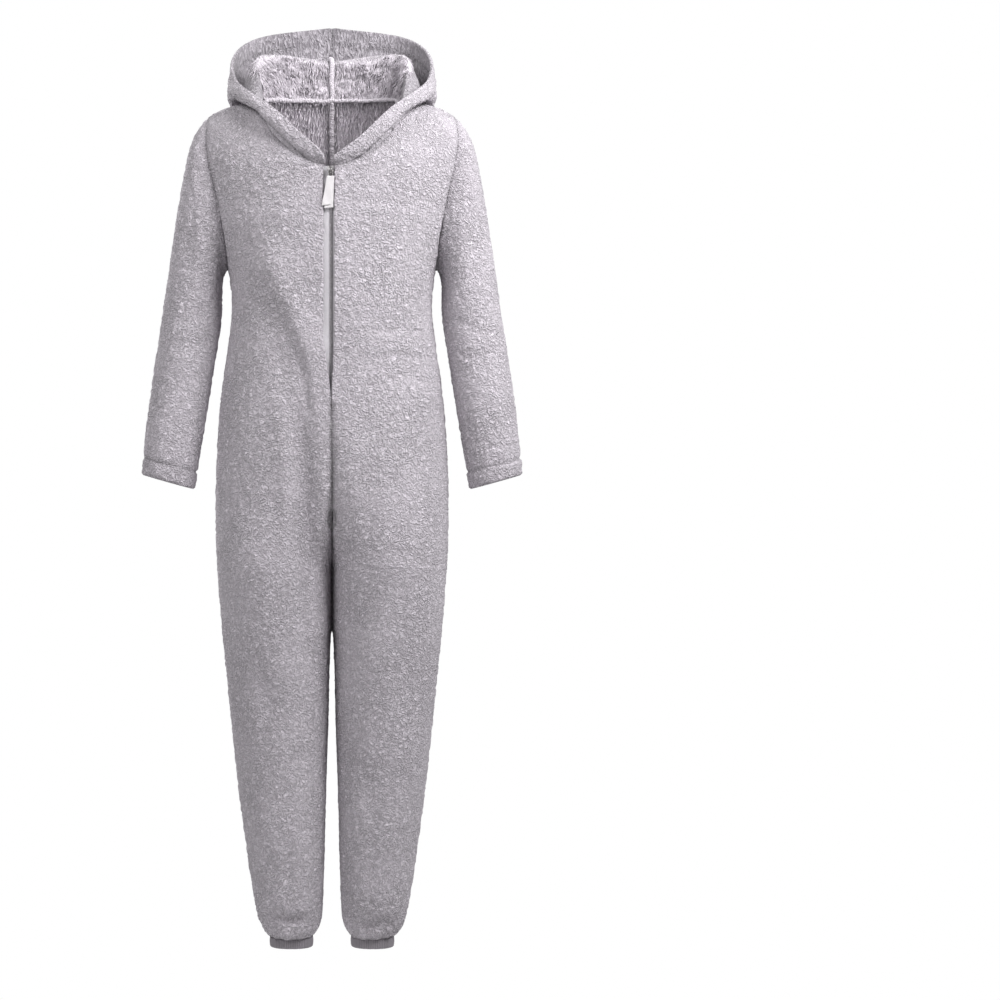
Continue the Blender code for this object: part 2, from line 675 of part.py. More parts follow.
# ---- ankle bands ----
def ankle_band(side):
    """A short rib-knit tube under each leg."""
    count = 4 * COLUMNS
    top = LEG_END_Z - SEAM_GAP
    sheets = []
    for inset in (0.0, BAND_WALL):
        rows = []
        for level in (0.0, 0.5, 1.0):
            bulge = 0.0012 * math.sin(math.pi * level)
            ring = []
            for j in range(count):
                sine, cosine = oval(2 * math.pi * j / count)
                ring.append((side * (BAND_CENTRE_X + (BAND_HALF_WIDTH + bulge - inset) * cosine),
                             (BAND_HALF_DEPTH + bulge - inset) * sine, top - BAND_HEIGHT * level))
            rows.append(ring)
        sheets.append(rows)
    wall(f"ankle_band_{SIDE_NAMES[side]}", *sheets, True, material("rib_knit", RIB_KNIT, 0.95),
         all_edges=False)


# ---- the zip ----
CHAIN_X = (-0.0050, 0.0017)
CHAIN_DEPTH = (0.0015, 0.0065)     # below the cloth's outer face
TAPE_DEPTH = (0.0068, 0.0079)
TAPE_X = {RIGHT: (-0.0168, -0.0018), LEFT: (-0.0015, 0.0090)}
ZIP_TOP_Z = NECK_FRONT_Z - 0.001
SLIDER_HEIGHT = 0.0154
SLIDER_X = (-0.0074, 0.0026)
SLIDER_DEPTH = (-0.0020, 0.0064)
TUNNEL = 0.0018                    # clear height under the slider's bridge
BRIDGE = 0.0014
BRIDGE_WIDTH = 0.0034
SLIDER_MIDDLE_X = (SLIDER_X[0] + SLIDER_X[1]) / 2
SLIDER_MIDDLE_Z = NECK_FRONT_Z - 0.002 - SLIDER_HEIGHT / 2
LINK_WIRE = 0.0012
LINK_HALF_WIDTH = 0.0036
LINK_DROP = 0.0110
TAB_LENGTH = 0.048
TAB_WIDTH = 0.0120
TAB_THICKNESS = 0.0018
TAB_LEAN = math.radians(9)


def front_surface(x, z):
    """The front's outer surface near the middle, folds and all."""
    if z > UNDERARM_Z:
        y = body_y(FRONT, x, z)
    else:
        share = abs(x) / smooth(BODY, "half_width", z)
        y = -smooth(BODY, "front", z) * (1 - share**ROUNDNESS) ** (1 / ROUNDNESS)
    return y - fold_rise("body", Vector((x, y, z)))


def strip(name, xs, depths, top, bottom, steps, finish):
    """A flat strip down the middle of the front, following its surface."""
    points = []
    for i in range(steps + 1):
        z = blend(top, bottom, i / steps)
        first, second = (front_surface(x, z) for x in xs)
        points += [(xs[0], first + depths[0], z), (xs[1], second + depths[0], z),
                   (xs[1], second + depths[1], z), (xs[0], first + depths[1], z)]
    faces = [(0, 1, 2, 3), tuple(4 * steps + k for k in (3, 2, 1, 0))]
    for i in range(steps):
        for k in range(4):
            a, b = 4 * i + k, 4 * i + (k + 1) % 4
            faces.append((a, b, b + 4, a + 4))
    add_object(name, points, faces, finish)


def zip_parts():
    steps = 24
    woven = material("woven_tape", TAPE, 0.9)
    for side in (RIGHT, LEFT):
        strip(f"zip_tape_{SIDE_NAMES[side]}", TAPE_X[side], TAPE_DEPTH, ZIP_TOP_Z, ZIP_END_Z, steps,
              woven)
    chain_top = SLIDER_MIDDLE_Z - SLIDER_HEIGHT / 2 - SEAM_GAP
    strip("zip_chain", CHAIN_X, CHAIN_DEPTH, chain_top, ZIP_END_Z + 0.002, steps,
          material("zip_coil", (0.30, 0.28, 0.30), 0.6))


def box_points(low, high):
    return [(x, y, z) for z in (low[2], high[2])
            for x, y in ((low[0], low[1]), (high[0], low[1]), (high[0], high[1]), (low[0], high[1]))]


BOX_FACES = [(3, 2, 1, 0), (4, 5, 6, 7), (0, 1, 5, 4), (1, 2, 6, 5), (2, 3, 7, 6), (3, 0, 4, 7)]


def join_solids(target, cutters, operation):
    """Boolean the cutters into the target and keep the plain result."""
    for cutter in cutters:
        modifier = target.modifiers.new("join", "BOOLEAN")
        modifier.operation = operation
        modifier.object = cutter
        graph = bpy.context.evaluated_depsgraph_get()
        result = bpy.data.meshes.new_from_object(target.evaluated_get(graph))
        target.modifiers.clear()
        target.data = result
        bpy.data.objects.remove(cutter)


def zip_slider():
    """The slider's body fills the slot above the chain; its bridge leaves a tunnel for the link."""
    metal = material("dark_metal", DARK_METAL, 0.35, 1.0)
    face = front_surface(0.0, SLIDER_MIDDLE_Z)
    low_z, high_z = SLIDER_MIDDLE_Z - SLIDER_HEIGHT / 2, SLIDER_MIDDLE_Z + SLIDER_HEIGHT / 2
    front = face + SLIDER_DEPTH[0]
    body = add_object("zip_slider", box_points((SLIDER_X[0], front, low_z),
                                               (SLIDER_X[1], face + SLIDER_DEPTH[1], high_z)),
                      BOX_FACES, metal)
    shape = bmesh.new()
    shape.from_mesh(body.data)
    upright = [edge for edge in shape.edges
               if abs(edge.verts[0].co.x - edge.verts[1].co.x) < 0.0001
               and abs(edge.verts[0].co.z - edge.verts[1].co.z) < 0.0001]
    bmesh.ops.bevel(shape, geom=upright, offset=0.0022, segments=3, affect="EDGES")
    shape.to_mesh(body.data)
    shape.free()
    bridge_low = (SLIDER_MIDDLE_X - BRIDGE_WIDTH / 2, front - TUNNEL - BRIDGE, low_z + 0.0030)
    bridge_high = (SLIDER_MIDDLE_X + BRIDGE_WIDTH / 2, front + 0.0006, high_z - 0.0030)
    bridge = add_object("bridge", box_points(bridge_low, bridge_high), BOX_FACES, metal)
    tunnel = add_object("tunnel", box_points((SLIDER_X[0] - 0.01, front - TUNNEL, low_z + 0.0046),
                                             (SLIDER_X[1] + 0.01, front, high_z - 0.0046)),
                        BOX_FACES, metal)
    join_solids(bridge, [tunnel], "DIFFERENCE")
    join_solids(body, [bridge], "UNION")


def pull():
    """The link hangs in the slider's tunnel and carries the tab; both swing about its top bar."""
    front = front_surface(0.0, SLIDER_MIDDLE_Z) + SLIDER_DEPTH[0]
    hinge = Vector((SLIDER_MIDDLE_X, front - TUNNEL / 2, SLIDER_MIDDLE_Z))
    axis = bpy.data.objects.new("pull_axis", None)
    axis.location = hinge
    bpy.context.scene.collection.objects.link(axis)
    half = LINK_WIRE / 2
    outer, hole = LINK_HALF_WIDTH + half, LINK_HALF_WIDTH - half
    link = add_object("pull_link", box_points((-outer, -half, -LINK_DROP - half), (outer, half, half)),
                      BOX_FACES, material("dark_metal", DARK_METAL, 0.35, 1.0))
    window = add_object("window", box_points((-hole, -0.01, -LINK_DROP + half), (hole, 0.01, -half)),
                        BOX_FACES, material("dark_metal", DARK_METAL, 0.35, 1.0))
    join_solids(link, [window], "DIFFERENCE")
    link.parent = axis
    top = -LINK_DROP - half - SEAM_GAP
    arc_steps = 8
    outline = []
    for centre_z, start in ((top - TAB_WIDTH / 2, 0.0), (top - TAB_LENGTH + TAB_WIDTH / 2, math.pi)):
        for k in range(arc_steps + 1):
            angle = start + math.pi * k / arc_steps
            outline.append((TAB_WIDTH / 2 * math.cos(angle), centre_z + TAB_WIDTH / 2 * math.sin(angle)))
    count = len(outline)
    lean = Matrix.Rotation(TAB_LEAN, 4, "Y")
    points = [lean @ Vector((x, y, z - top)) + Vector((0, 0, top))
              for y in (-TAB_THICKNESS / 2, TAB_THICKNESS / 2) for x, z in outline]
    faces = [tuple(range(count)), tuple(range(2 * count - 1, count - 1, -1))]
    faces += [(k, (k + 1) % count, (k + 1) % count + count, k + count) for k in range(count)]
    tab = add_object("pull_tab", points, faces, material("pale_strap", PALE_STRAP, 0.5))
    tab.parent = axis


# ---- ears ----
EAR_BASE_INNER = (0.068, 0.020)    # x and z of the sewn edge
EAR_BASE_OUTER = (0.140, 0.004)
EAR_TIP = (0.124, -0.068)
EAR_REST = 0.0015
EAR_LEAST_Y = 0.148                # where it hangs past the pouch
EAR_PLUMP = 0.0150
EAR_ROWS = 6
EAR_COLUMNS = 6


EAR_FEEL = (-0.012, 0.0, 0.012)    # the ear rests on the highest place this near each point


def surface_behind(hood, x, z):
    """How far back the hood reaches at a place seen from behind."""
    hit = hood.ray_cast(Vector((x, 0.5, z)), Vector((0, -1, 0)))[0]
    return hit.y if hit is not None else EAR_LEAST_Y


def ear(side, hood):
    """A plump flap that hangs over the pouch, pinched at its sewn edge."""
    behind = BVHTree.FromPolygons([tuple(point) for point in hood.points()],
                                  [tuple(face) for face in hood.faces])
    inner, outer, tip = (Vector((x, 0.0, z)) for x, z in (EAR_BASE_INNER, EAR_BASE_OUTER, EAR_TIP))
    sheets = ([], [])
    for i in range(EAR_ROWS + 1):
        down = i / EAR_ROWS
        spread = 0.62 + 0.48 * math.sin(math.pi * min(down, 0.9) * 0.75) - 0.62 * down**3
        centre = (inner + outer) / 2 * (1 - down) + tip * down
        across = (outer - inner) / 2 * spread
        rows = ([], [])
        for k in range(EAR_COLUMNS + 1):
            share = 2 * k / EAR_COLUMNS - 1
            place = centre + across * share
            surface = max(surface_behind(behind, side * place.x + dx, place.z + dz)
                          for dx in EAR_FEEL for dz in EAR_FEEL)
            swell = math.sqrt(max(0.0, 1 - share**2)) * math.sin(math.pi * (0.12 + 0.80 * down))
            pinch = 0.35 + 0.65 * ease(down / 0.4)
            rows[0].append((side * place.x, surface + EAR_REST, place.z))
            rows[1].append((side * place.x, surface + EAR_REST + 0.004 + EAR_PLUMP * swell * pinch,
                            place.z))
        sheets[0].append(rows[0])
        sheets[1].append(rows[1])
    wall(f"ear_{SIDE_NAMES[side]}", sheets[1], sheets[0], False, material("fleece", FLEECE, 0.95))


def stretches(sheet):
    """The name and the first and last row of each solid that a sheet is built from.

    A front or back runs from the neck to the ankle. It is built as a chest, a hip and a leg
    stretch, so that the collision pieces of each can follow its curve.
    """
    if sheet.part != "body":
        return [(sheet.name, 0, len(sheet.rows) - 1)]
    outline = [row[0][2] for row in sheet.rows]
    waist = min(range(len(outline)), key=lambda i: abs(outline[i] - WAIST_Z))
    crotch = min(range(len(outline)), key=lambda i: abs(outline[i] - CROTCH_Z))
    face, side = sheet.name.split("_")
    return [(sheet.name, 0, waist), (f"{face}_hip_{side}", waist, crotch),
            (f"{face}_leg_{side}", crotch, len(outline) - 1)]


def main():
    for existing in list(bpy.data.objects):
        bpy.data.objects.remove(existing, do_unlink=True)
    panels = {(side, face): body_rows(side, face) for side in (LEFT, RIGHT) for face in (FRONT, BACK)}
    sheets = []
    for (side, face), rows in panels.items():
        sheets.append(Sheet(f"{body_column(face)}_{SIDE_NAMES[side]}", "body", rows,
                            flip=side * face > 0))
    for side in (LEFT, RIGHT):
        sheets.append(Sheet(f"sleeve_{SIDE_NAMES[side]}", "sleeve", sleeve_rows(side, panels),
                            closed=True, flip=side == LEFT))
        sheets.append(Sheet(f"hood_{SIDE_NAMES[side]}", "hood", hood_rows(side, panels),
                            flip=side == RIGHT))
    normals = shared_normals(sheets)
    for sheet, own in zip(sheets, normals):
        sheet.reshape([point + normal * fold_rise(sheet.part, point)
                       for point, normal in zip(sheet.points(), own)])
    normals = shared_normals(sheets)
    fleece = material("fleece", FLEECE, 0.95)
    for sheet, own in zip(sheets, normals):
        inner = inner_rows(sheet, own, CLOTH)
        for name, first, last in stretches(sheet):
            rows = slice(first, last + 1)
            wall(name, sheet.rows[rows], inner[rows], sheet.closed, fleece)
    for side in (LEFT, RIGHT):
        ankle_band(side)
        hood = next(sheet for sheet in sheets if sheet.name == f"hood_{SIDE_NAMES[side]}")
        ear(side, hood)
    zip_parts()
    zip_slider()
    pull()


main()
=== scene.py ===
# %% [markdown]
# # A hooded onesie pajama in curly fleece
# The real garment is sewn from a thick fleece with a curled pile on both faces. Twelve cut pieces
# make it: two fronts, two backs, two sleeves, a hood in two halves, two ears and two knitted ankle
# bands. A zip closes the front.
#
# The pieces already exist as plain solids, at their real size and in their real places. This lesson
# loads them as a frame and dresses each one: a fine cloth shell that follows the solid, with pile,
# seams and creases, and small hard pieces for the zip. A moving part keeps its place on its own
# body, so the pull can swing.

# %% Load the frame
import math

import bmesh
import bpy
import numpy as np
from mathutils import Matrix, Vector, kdtree


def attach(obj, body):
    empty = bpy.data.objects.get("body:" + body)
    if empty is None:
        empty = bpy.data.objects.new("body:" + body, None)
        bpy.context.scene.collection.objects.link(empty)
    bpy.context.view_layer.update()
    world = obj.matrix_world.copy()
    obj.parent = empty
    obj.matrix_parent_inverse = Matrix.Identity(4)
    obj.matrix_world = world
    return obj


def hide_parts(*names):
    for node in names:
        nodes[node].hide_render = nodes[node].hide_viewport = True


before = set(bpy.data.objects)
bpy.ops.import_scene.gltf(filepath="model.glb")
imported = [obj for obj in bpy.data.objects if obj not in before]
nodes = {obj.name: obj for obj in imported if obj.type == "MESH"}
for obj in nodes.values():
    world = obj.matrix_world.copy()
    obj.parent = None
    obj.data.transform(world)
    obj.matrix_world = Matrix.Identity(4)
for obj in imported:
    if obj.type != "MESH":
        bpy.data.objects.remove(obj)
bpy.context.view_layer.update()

SIGNS = {"right": -1, "left": 1}    # the wearer's right lies at negative x

# %% [markdown]
# ## The view
# A garment like this is shown hanging filled out, straight from the front, with a long lens. A long
# lens keeps the shoulders and the ankles at the same scale. The camera looks level along +Y from
# well in front, and a sideways lens shift places the garment left of the middle without turning it.

# %% Camera
CAMERA_DISTANCE = 3.6
CAMERA_HEIGHT = -0.679
LENS = 75.35
SIDE_SHIFT = 0.168


def in_scene(name, data):
    """A new object in the scene, at the origin."""
    made = bpy.data.objects.new(name, data)
    bpy.context.scene.collection.objects.link(made)
    return made


camera_data = bpy.data.cameras.new("camera")
camera_data.lens = LENS
camera_data.sensor_width = 36.0
camera_data.shift_x = SIDE_SHIFT
camera = in_scene("camera", camera_data)
camera.location = (0.0, -CAMERA_DISTANCE, CAMERA_HEIGHT)
camera.rotation_euler = (math.pi / 2, 0.0, 0.0)
bpy.context.scene.camera = camera
print("camera at", tuple(camera.location))

# %% [markdown]
# ## Building node trees
# Shaders and Geometry Nodes are both graphs, and each node takes several lines to make by hand. A
# helper that adds a node and fills its sockets, with a number or with a link, brings that down to
# one. Three more make the maths nodes, which are used most.

# %% Helpers for node trees
def add(tree, kind, inputs=None, **settings):
    """Adds a node; a socket given as an input's value is linked, anything else is set."""
    node = tree.nodes.new(kind)
    for name, value in settings.items():
        setattr(node, name, value)
    for name, value in (inputs or {}).items():
        socket = node.inputs[name]
        if isinstance(value, bpy.types.NodeSocket):
            tree.links.new(value, socket)
        else:
            socket.default_value = value
    return node


def calc(tree, operation, *values):
    """One maths node; returns its output."""
    numbered = dict(enumerate(values))
    return add(tree, "ShaderNodeMath", numbered, operation=operation).outputs[0]


def vector_calc(tree, operation, *values):
    """One vector maths node; returns its output."""
    numbered = dict(enumerate(values))
    return add(tree, "ShaderNodeVectorMath", numbered, operation=operation).outputs[0]


def scaled(tree, vector, factor):
    """A vector times a number."""
    return add(tree, "ShaderNodeVectorMath", {0: vector, "Scale": factor}, operation="SCALE").outputs[0]


print("node helpers: add, calc, vector_calc, scaled")

# %% [markdown]
# ## The curled pile, as a height
# Seen close, the pile is a mass of short curled strands, 2 to 3 mm wide and two or three times as
# long, that lie every way and leave dark gaps. A cell pattern looks like pebbles and plain noise
# like plaster. Here the point is first pushed about by a coarse noise with a long reach. That
# stretches the fine noise read at the pushed point, one way here and another way there, so its lumps
# turn into strands. A second, finer noise parts the strands again. The same recipe serves twice:
# with a wide spacing it gives the mesh its clumps of several strands, and with a fine one the shader
# its single strands.

# %% The recipe for curls
def ramp(tree, value, low, high, to_low=0.0, to_high=1.0):
    """A smooth step from to_low to to_high while value goes from low to high."""
    sockets = {"Value": value, 1: low, 2: high, 3: to_low, 4: to_high}
    return add(tree, "ShaderNodeMapRange", sockets, interpolation_type="SMOOTHSTEP").outputs[0]


def noise(tree, vector, scale, detail=1.0, roughness=0.5, output="Fac"):
    """A noise texture, in which a scale of 100 gives lumps of about a centimetre."""
    sockets = {"Vector": vector, "Scale": scale, "Detail": detail, "Roughness": roughness}
    return add(tree, "ShaderNodeTexNoise", sockets).outputs[output]


def curls(tree, position, spacing):
    """A height from 0 in the gaps to 1 on the strands; spacing is the distance between strands."""
    frequency = calc(tree, "DIVIDE", 1.0, spacing)
    coarse = noise(tree, position, calc(tree, "MULTIPLY", frequency, 0.30), output="Color")
    push = vector_calc(tree, "SUBTRACT", coarse, (0.5, 0.5, 0.5))
    reach = calc(tree, "MULTIPLY", spacing, 4.0)
    bent = vector_calc(tree, "ADD", position, scaled(tree, push, reach))
    strand = noise(tree, bent, frequency, 0.0)
    finer = noise(tree, bent, calc(tree, "MULTIPLY", frequency, 2.1), 0.0)
    body = ramp(tree, strand, 0.28, 0.72)
    parting = ramp(tree, finer, 0.28, 0.60, 0.45, 1.0)
    return calc(tree, "MULTIPLY", body, parting)


MEAN_HEIGHT = 0.42              # the level that stays in place; on average the recipe gives 0.40
print("curls: heights from 0 to 1, level at", MEAN_HEIGHT)

# %% [markdown]
# ## Fleece as a material
# Both faces of the fleece share one effect: a soft lilac grey that is paler on the curls' tips and
# darker in the gaps, where less light gets in. The effect is a node group that puts out a colour and
# a height, so each material can set its own curl spacing and strength. The softness changes slowly
# over the cloth, because handling flattens the pile here and there. Very fine noise stands for the
# single fibres. A number on the points, Valley Shade, paints shade into the cloth where a seam
# draws it in. The pattern is read from the object's own coordinates, so it never slides.

# %% The pile effect
def effect_group(name, *sockets):
    """A shader node group that gives a colour and a height; returns it and its inputs by name."""
    group = bpy.data.node_groups.new(name, "ShaderNodeTree")
    for label, kind, value in sockets:
        socket = group.interface.new_socket(label, in_out="INPUT", socket_type="NodeSocket" + kind)
        socket.default_value = value
    group.interface.new_socket("Colour", in_out="OUTPUT", socket_type="NodeSocketColor")
    group.interface.new_socket("Height", in_out="OUTPUT", socket_type="NodeSocketFloat")
    return group, group.nodes.new("NodeGroupInput").outputs


def end_effect(group, colour, height):
    """Links an effect's colour and height to what the group gives."""
    add(group, "NodeGroupOutput", {"Colour": colour, "Height": height})


def blend(tree, share, low, high):
    """A colour that goes from low to high as share goes from 0 to 1."""
    return add(tree, "ShaderNodeMix", {0: share, 6: low, 7: high}, data_type="RGBA").outputs[2]


def object_place(tree):
    """The shaded point in the object's own coordinates."""
    return add(tree, "ShaderNodeTexCoord").outputs["Object"]


pile, given = effect_group(
    "pile", ("Spacing", "Float", 0.0038), ("Gap Colour", "Color", (0.30, 0.28, 0.31, 1.0)),
    ("Tip Colour", "Color", (0.56, 0.53, 0.57, 1.0)), ("Strand Stretch", "Vector", (1.0, 1.0, 1.0)),
    ("Fibre Spacing", "Float", 0.0012), ("Valley", "Float", 0.0))
place = object_place(pile)
stretched = vector_calc(pile, "MULTIPLY", place, given["Strand Stretch"])
curl = curls(pile, stretched, given["Spacing"])
softness = ramp(pile, noise(pile, place, 14.0, 2.0), 0.38, 0.62, 0.65, 1.0)
level = calc(pile, "MULTIPLY_ADD", calc(pile, "SUBTRACT", curl, MEAN_HEIGHT), softness, MEAN_HEIGHT)
fibre = noise(pile, stretched, calc(pile, "DIVIDE", 1.0, given["Fibre Spacing"]), 2.0, 0.6)
fibre = calc(pile, "SUBTRACT", fibre, 0.5)
tint = calc(pile, "MULTIPLY_ADD", fibre, 0.55, level)
patch = ramp(pile, noise(pile, place, 7.0, 2.0), 0.35, 0.65, -0.05, 0.05)
colour = blend(pile, calc(pile, "ADD", tint, patch), given["Gap Colour"], given["Tip Colour"])
height = calc(pile, "MULTIPLY_ADD", fibre, 0.45, level)
# Painted shade: the colour is darkened where a seam draws the cloth in.
deep = calc(pile, "SUBTRACT", 1.0, calc(pile, "MULTIPLY", given["Valley"], 0.55))
end_effect(pile, scaled(pile, colour, deep), height)
print("pile group:", len(pile.nodes), "nodes")

# %% [markdown]
# ## The fleece's own materials
# One cloth, five finishes. The outer face has loose curls. The inner face lies in the garment's own
# shade and is combed down the cloth; its colours are darker, as painted shade. The ears are a little
# smoother from the padding. The long brushed tufts get two paler finishes, one for the folded hood
# and one for the inner back: partly the brushed pile's own pale colour and partly painted light for
# the light that falls in and through their tips, and the inner back's copy is paler still, as painted
# light. All of them set the same effect's values. A little sheen gives the pile the pale bloom that
# fine fibres have where they are seen edge on.

# %% Materials of the two faces
def new_material(name, roughness, **shader_values):
    """A Principled material; returns it, its tree and its shader."""
    material = bpy.data.materials.new(name)
    material.use_nodes = True
    tree = material.node_tree
    shader = tree.nodes["Principled BSDF"]
    shader.inputs["Roughness"].default_value = roughness
    for socket, value in shader_values.items():
        shader.inputs[socket.replace("_", " ")].default_value = value
    return material, tree, shader


def bump(tree, shader, height, distance):
    """Lets a height from 0 to 1, times a distance, bend the shader's normal."""
    node = add(tree, "ShaderNodeBump", {"Height": height, "Distance": distance})
    tree.links.new(node.outputs["Normal"], shader.inputs["Normal"])


def dress_shader(tree, shader, colour, height, depth):
    """Gives a shader its colour and its relief."""
    tree.links.new(colour, shader.inputs["Base Color"])
    bump(tree, shader, height, depth)


def fleece_material(name, spacing, gap, tip, stretch, fibre, depth):
    """Fleece with its own curl spacing, colours and depth of pile."""
    material, tree, shader = new_material(
        name, 0.95, Sheen_Weight=0.25, Sheen_Roughness=0.6, Specular_IOR_Level=0.2)
    # Painted shade from the seams, read off the points.
    valley = add(tree, "ShaderNodeAttribute", attribute_name="valley").outputs["Fac"]
    values = {"Spacing": spacing, "Gap Colour": (*gap, 1.0), "Tip Colour": (*tip, 1.0),
              "Strand Stretch": stretch, "Fibre Spacing": fibre}
    look = add(tree, "ShaderNodeGroup", {**values, "Valley": valley}, node_tree=pile).outputs
    dress_shader(tree, shader, look["Colour"], look["Height"], depth)
    return material


EVEN = (1.0, 1.0, 1.0)
COMBED = (1.0, 1.0, 0.42)       # strands run down the cloth
GAP_GREY = (0.405, 0.371, 0.411)
TIP_GREY = (0.850, 0.790, 0.862)
fleece_outside = fleece_material("fleece_outside", 0.0033, GAP_GREY, TIP_GREY, EVEN, 0.0010, 0.0044)
# Painted shade: the inner face's colours are darker for the garment's own shade.
fleece_inside = fleece_material("fleece_inside", 0.0038, (0.222, 0.203, 0.226), (0.500, 0.466, 0.510),
                                COMBED, 0.0010, 0.0030)
ear_fleece = fleece_material("ear_fleece", 0.0033, (0.440, 0.404, 0.446), (0.860, 0.800, 0.870),
                             EVEN, 0.0010, 0.0030)
# Partly the brushed pile's own pale colour, partly painted light for light through the tufts' tips.
brushed_pile = fleece_material("brushed_pile", 0.0042, (0.58, 0.539, 0.585), (0.76, 0.707, 0.768),
                               COMBED, 0.0011, 0.0008)
# A paler copy of the brushed pile: painted light for the inner back, which lies in shade.
inner_back_pile = fleece_material("inner_back_pile", 0.0042, (0.66, 0.615, 0.665), (0.97, 0.905, 0.975),
                                  COMBED, 0.0011, 0.0008)
fleeces = (fleece_outside, fleece_inside, ear_fleece, brushed_pile, inner_back_pile)
print("fleece materials:", [material.name for material in fleeces])

# %% [markdown]
# ## Which solids make one cut piece
# Each front and each back is one length of cloth, but its solid stands in three stretches with a
# hair's gap between them. Every other piece of cloth is one solid. A table says which solids belong
# to each cut piece, and a search tree for each piece answers later whether a point lies on a seam.

# %% Cut pieces and their solids
STRETCHES = {f"{face}_{side}": (f"{face}_{side}", f"{face}_hip_{side}", f"{face}_leg_{side}")
             for face in ("front", "back") for side in SIGNS}
for part in ("sleeve", "hood", "ear", "ankle_band"):
    for side in SIGNS:
        STRETCHES[f"{part}_{side}"] = (f"{part}_{side}",)


def point_tree(points):
    """A search tree over rows of points."""
    tree = kdtree.KDTree(len(points))
    for i, point in enumerate(points):
        tree.insert(point, i)
    tree.balance()
    return tree


def node_points(names):
    """All points of some nodes, as rows."""
    return np.array([vertex.co for name in names for vertex in nodes[name].data.vertices])


corner_tree = {name: point_tree(node_points(names)) for name, names in STRETCHES.items()}
print(len(STRETCHES), "cut pieces from", sum(len(names) for names in STRETCHES.values()), "solids")

# %% [markdown]
# ## From a solid to cloth
# Each cut piece is a closed wall of a few hundred quads. A piece of cloth needs the same form with
# far more points, so that pile and creases can be pushed into it. The solid arrives as loose
# triangles: a copy is merged, its stretches are joined without the rims that face each other, and
# its triangles are joined in pairs, because Subdivision Surface keeps quads smooth.

# %% Join the stretches
STRETCH_GAP = 0.0006            # two stretches of one panel stand closer than this


def merged(node_name):
    """A bmesh of one of the frame's solids, with its loose triangles joined up."""
    bm = bmesh.new()
    bm.from_mesh(nodes[node_name].data)
    bmesh.ops.remove_doubles(bm, verts=bm.verts[:], dist=1e-5)
    return bm


def joined(names):
    """One merged mesh of a panel's stretches, without the rims that face each other."""
    bm = bmesh.new()
    for name in names:
        own = merged(name)
        others = [other for other in names if other != name]
        if others:
            near = point_tree(node_points(others))
            met = {vertex for vertex in own.verts if near.find(vertex.co)[2] < STRETCH_GAP}
            doubled = [face for face in own.faces if all(vertex in met for vertex in face.verts)]
            bmesh.ops.delete(own, geom=doubled, context="FACES")
        part = bpy.data.meshes.new("stretch")
        own.to_mesh(part)
        own.free()
        bm.from_mesh(part)
        bpy.data.meshes.remove(part)
    bmesh.ops.remove_doubles(bm, verts=bm.verts[:], dist=STRETCH_GAP)
    bmesh.ops.join_triangles(bm, faces=bm.faces[:], angle_face_threshold=math.pi,
                             angle_shape_threshold=math.pi)
    bm.normal_update()
    return bm


trial = joined(STRETCHES["front_right"])
print("front_right: three stretches, now one mesh of", len(trial.verts), "points")
trial.free()

# %% [markdown]
# ## Outside, inside and rim
# Each edge that turns sharply is the rim of the wall, where the cloth was cut. The rim parts the
# faces into two sheets, and flood fill finds them. To tell the outer sheet, one known point and the
# way it faces are enough. Rim points that touch another cut piece lie on a seam.

# %% Split a wall into its sheets
SHARP_TURN = math.radians(55)
SEAM_REACH = 0.0016             # a rim point this close to another piece lies on a seam


def sheets_of(bm):
    """Splits the faces at the sharp edges; returns the largest two groups."""
    group = {}
    groups = []
    for start in bm.faces:
        if start in group:
            continue
        members = []
        waiting = [start]
        group[start] = len(groups)
        while waiting:
            face = waiting.pop()
            members.append(face)
            for edge in face.edges:
                if edge.calc_face_angle(0.0) > SHARP_TURN:
                    continue
                for other in edge.link_faces:
                    if other not in group:
                        group[other] = len(groups)
                        waiting.append(other)
        groups.append(members)
    groups.sort(key=lambda faces: -sum(face.calc_area() for face in faces))
    return groups[0], groups[1]


def is_outside(faces, probe, outward):
    """Whether the group's face nearest to a known outer point faces outward there."""
    nearest = min(faces, key=lambda face: (face.calc_center_median() - Vector(probe)).length)
    return nearest.normal.dot(Vector(outward)) > 0


def on_seam(name, point):
    """Whether another cut piece meets this point."""
    return any(tree.find(point)[2] < SEAM_REACH for other, tree in corner_tree.items() if other != name)


print("the rim is where faces turn by more than", round(math.degrees(SHARP_TURN)), "degrees")

# %% [markdown]
# ## Fine points
# Subdivision rounds the form, and the rim's edges are creased so that the outline stays where it was
# cut. Only the outer sheet shows its curls from near, so only its edges are cut again. Numbers on
# the points tell later steps how near the rim, a seam or the inner sheet each one is. Subdivision
# blends these flags between the coarse points.

# %% A fine copy of a cut piece
ON_INSIDE = 0.99                # flags count as set only near their ends
ON_OUTSIDE = 0.01
SEAM_CREASE = 0.95              # sewn edges stay sharp, free edges round a little
FREE_CREASE = 0.45


def from_bmesh(name, bm, material=None):
    """A new object whose mesh is what the bmesh holds; the bmesh is freed."""
    mesh = bpy.data.meshes.new(name)
    bm.to_mesh(mesh)
    bm.free()
    if material:
        mesh.materials.append(material)
    return in_scene(name, mesh)


def bake_modifiers(piece):
    """Turns the evaluated object into its plain mesh and removes the modifiers."""
    graph = bpy.context.evaluated_depsgraph_get()
    mesh = bpy.data.meshes.new_from_object(piece.evaluated_get(graph), preserve_all_data_layers=True,
                                           depsgraph=graph)
    piece.modifiers.clear()
    old = piece.data
    piece.data = mesh
    bpy.data.meshes.remove(old)


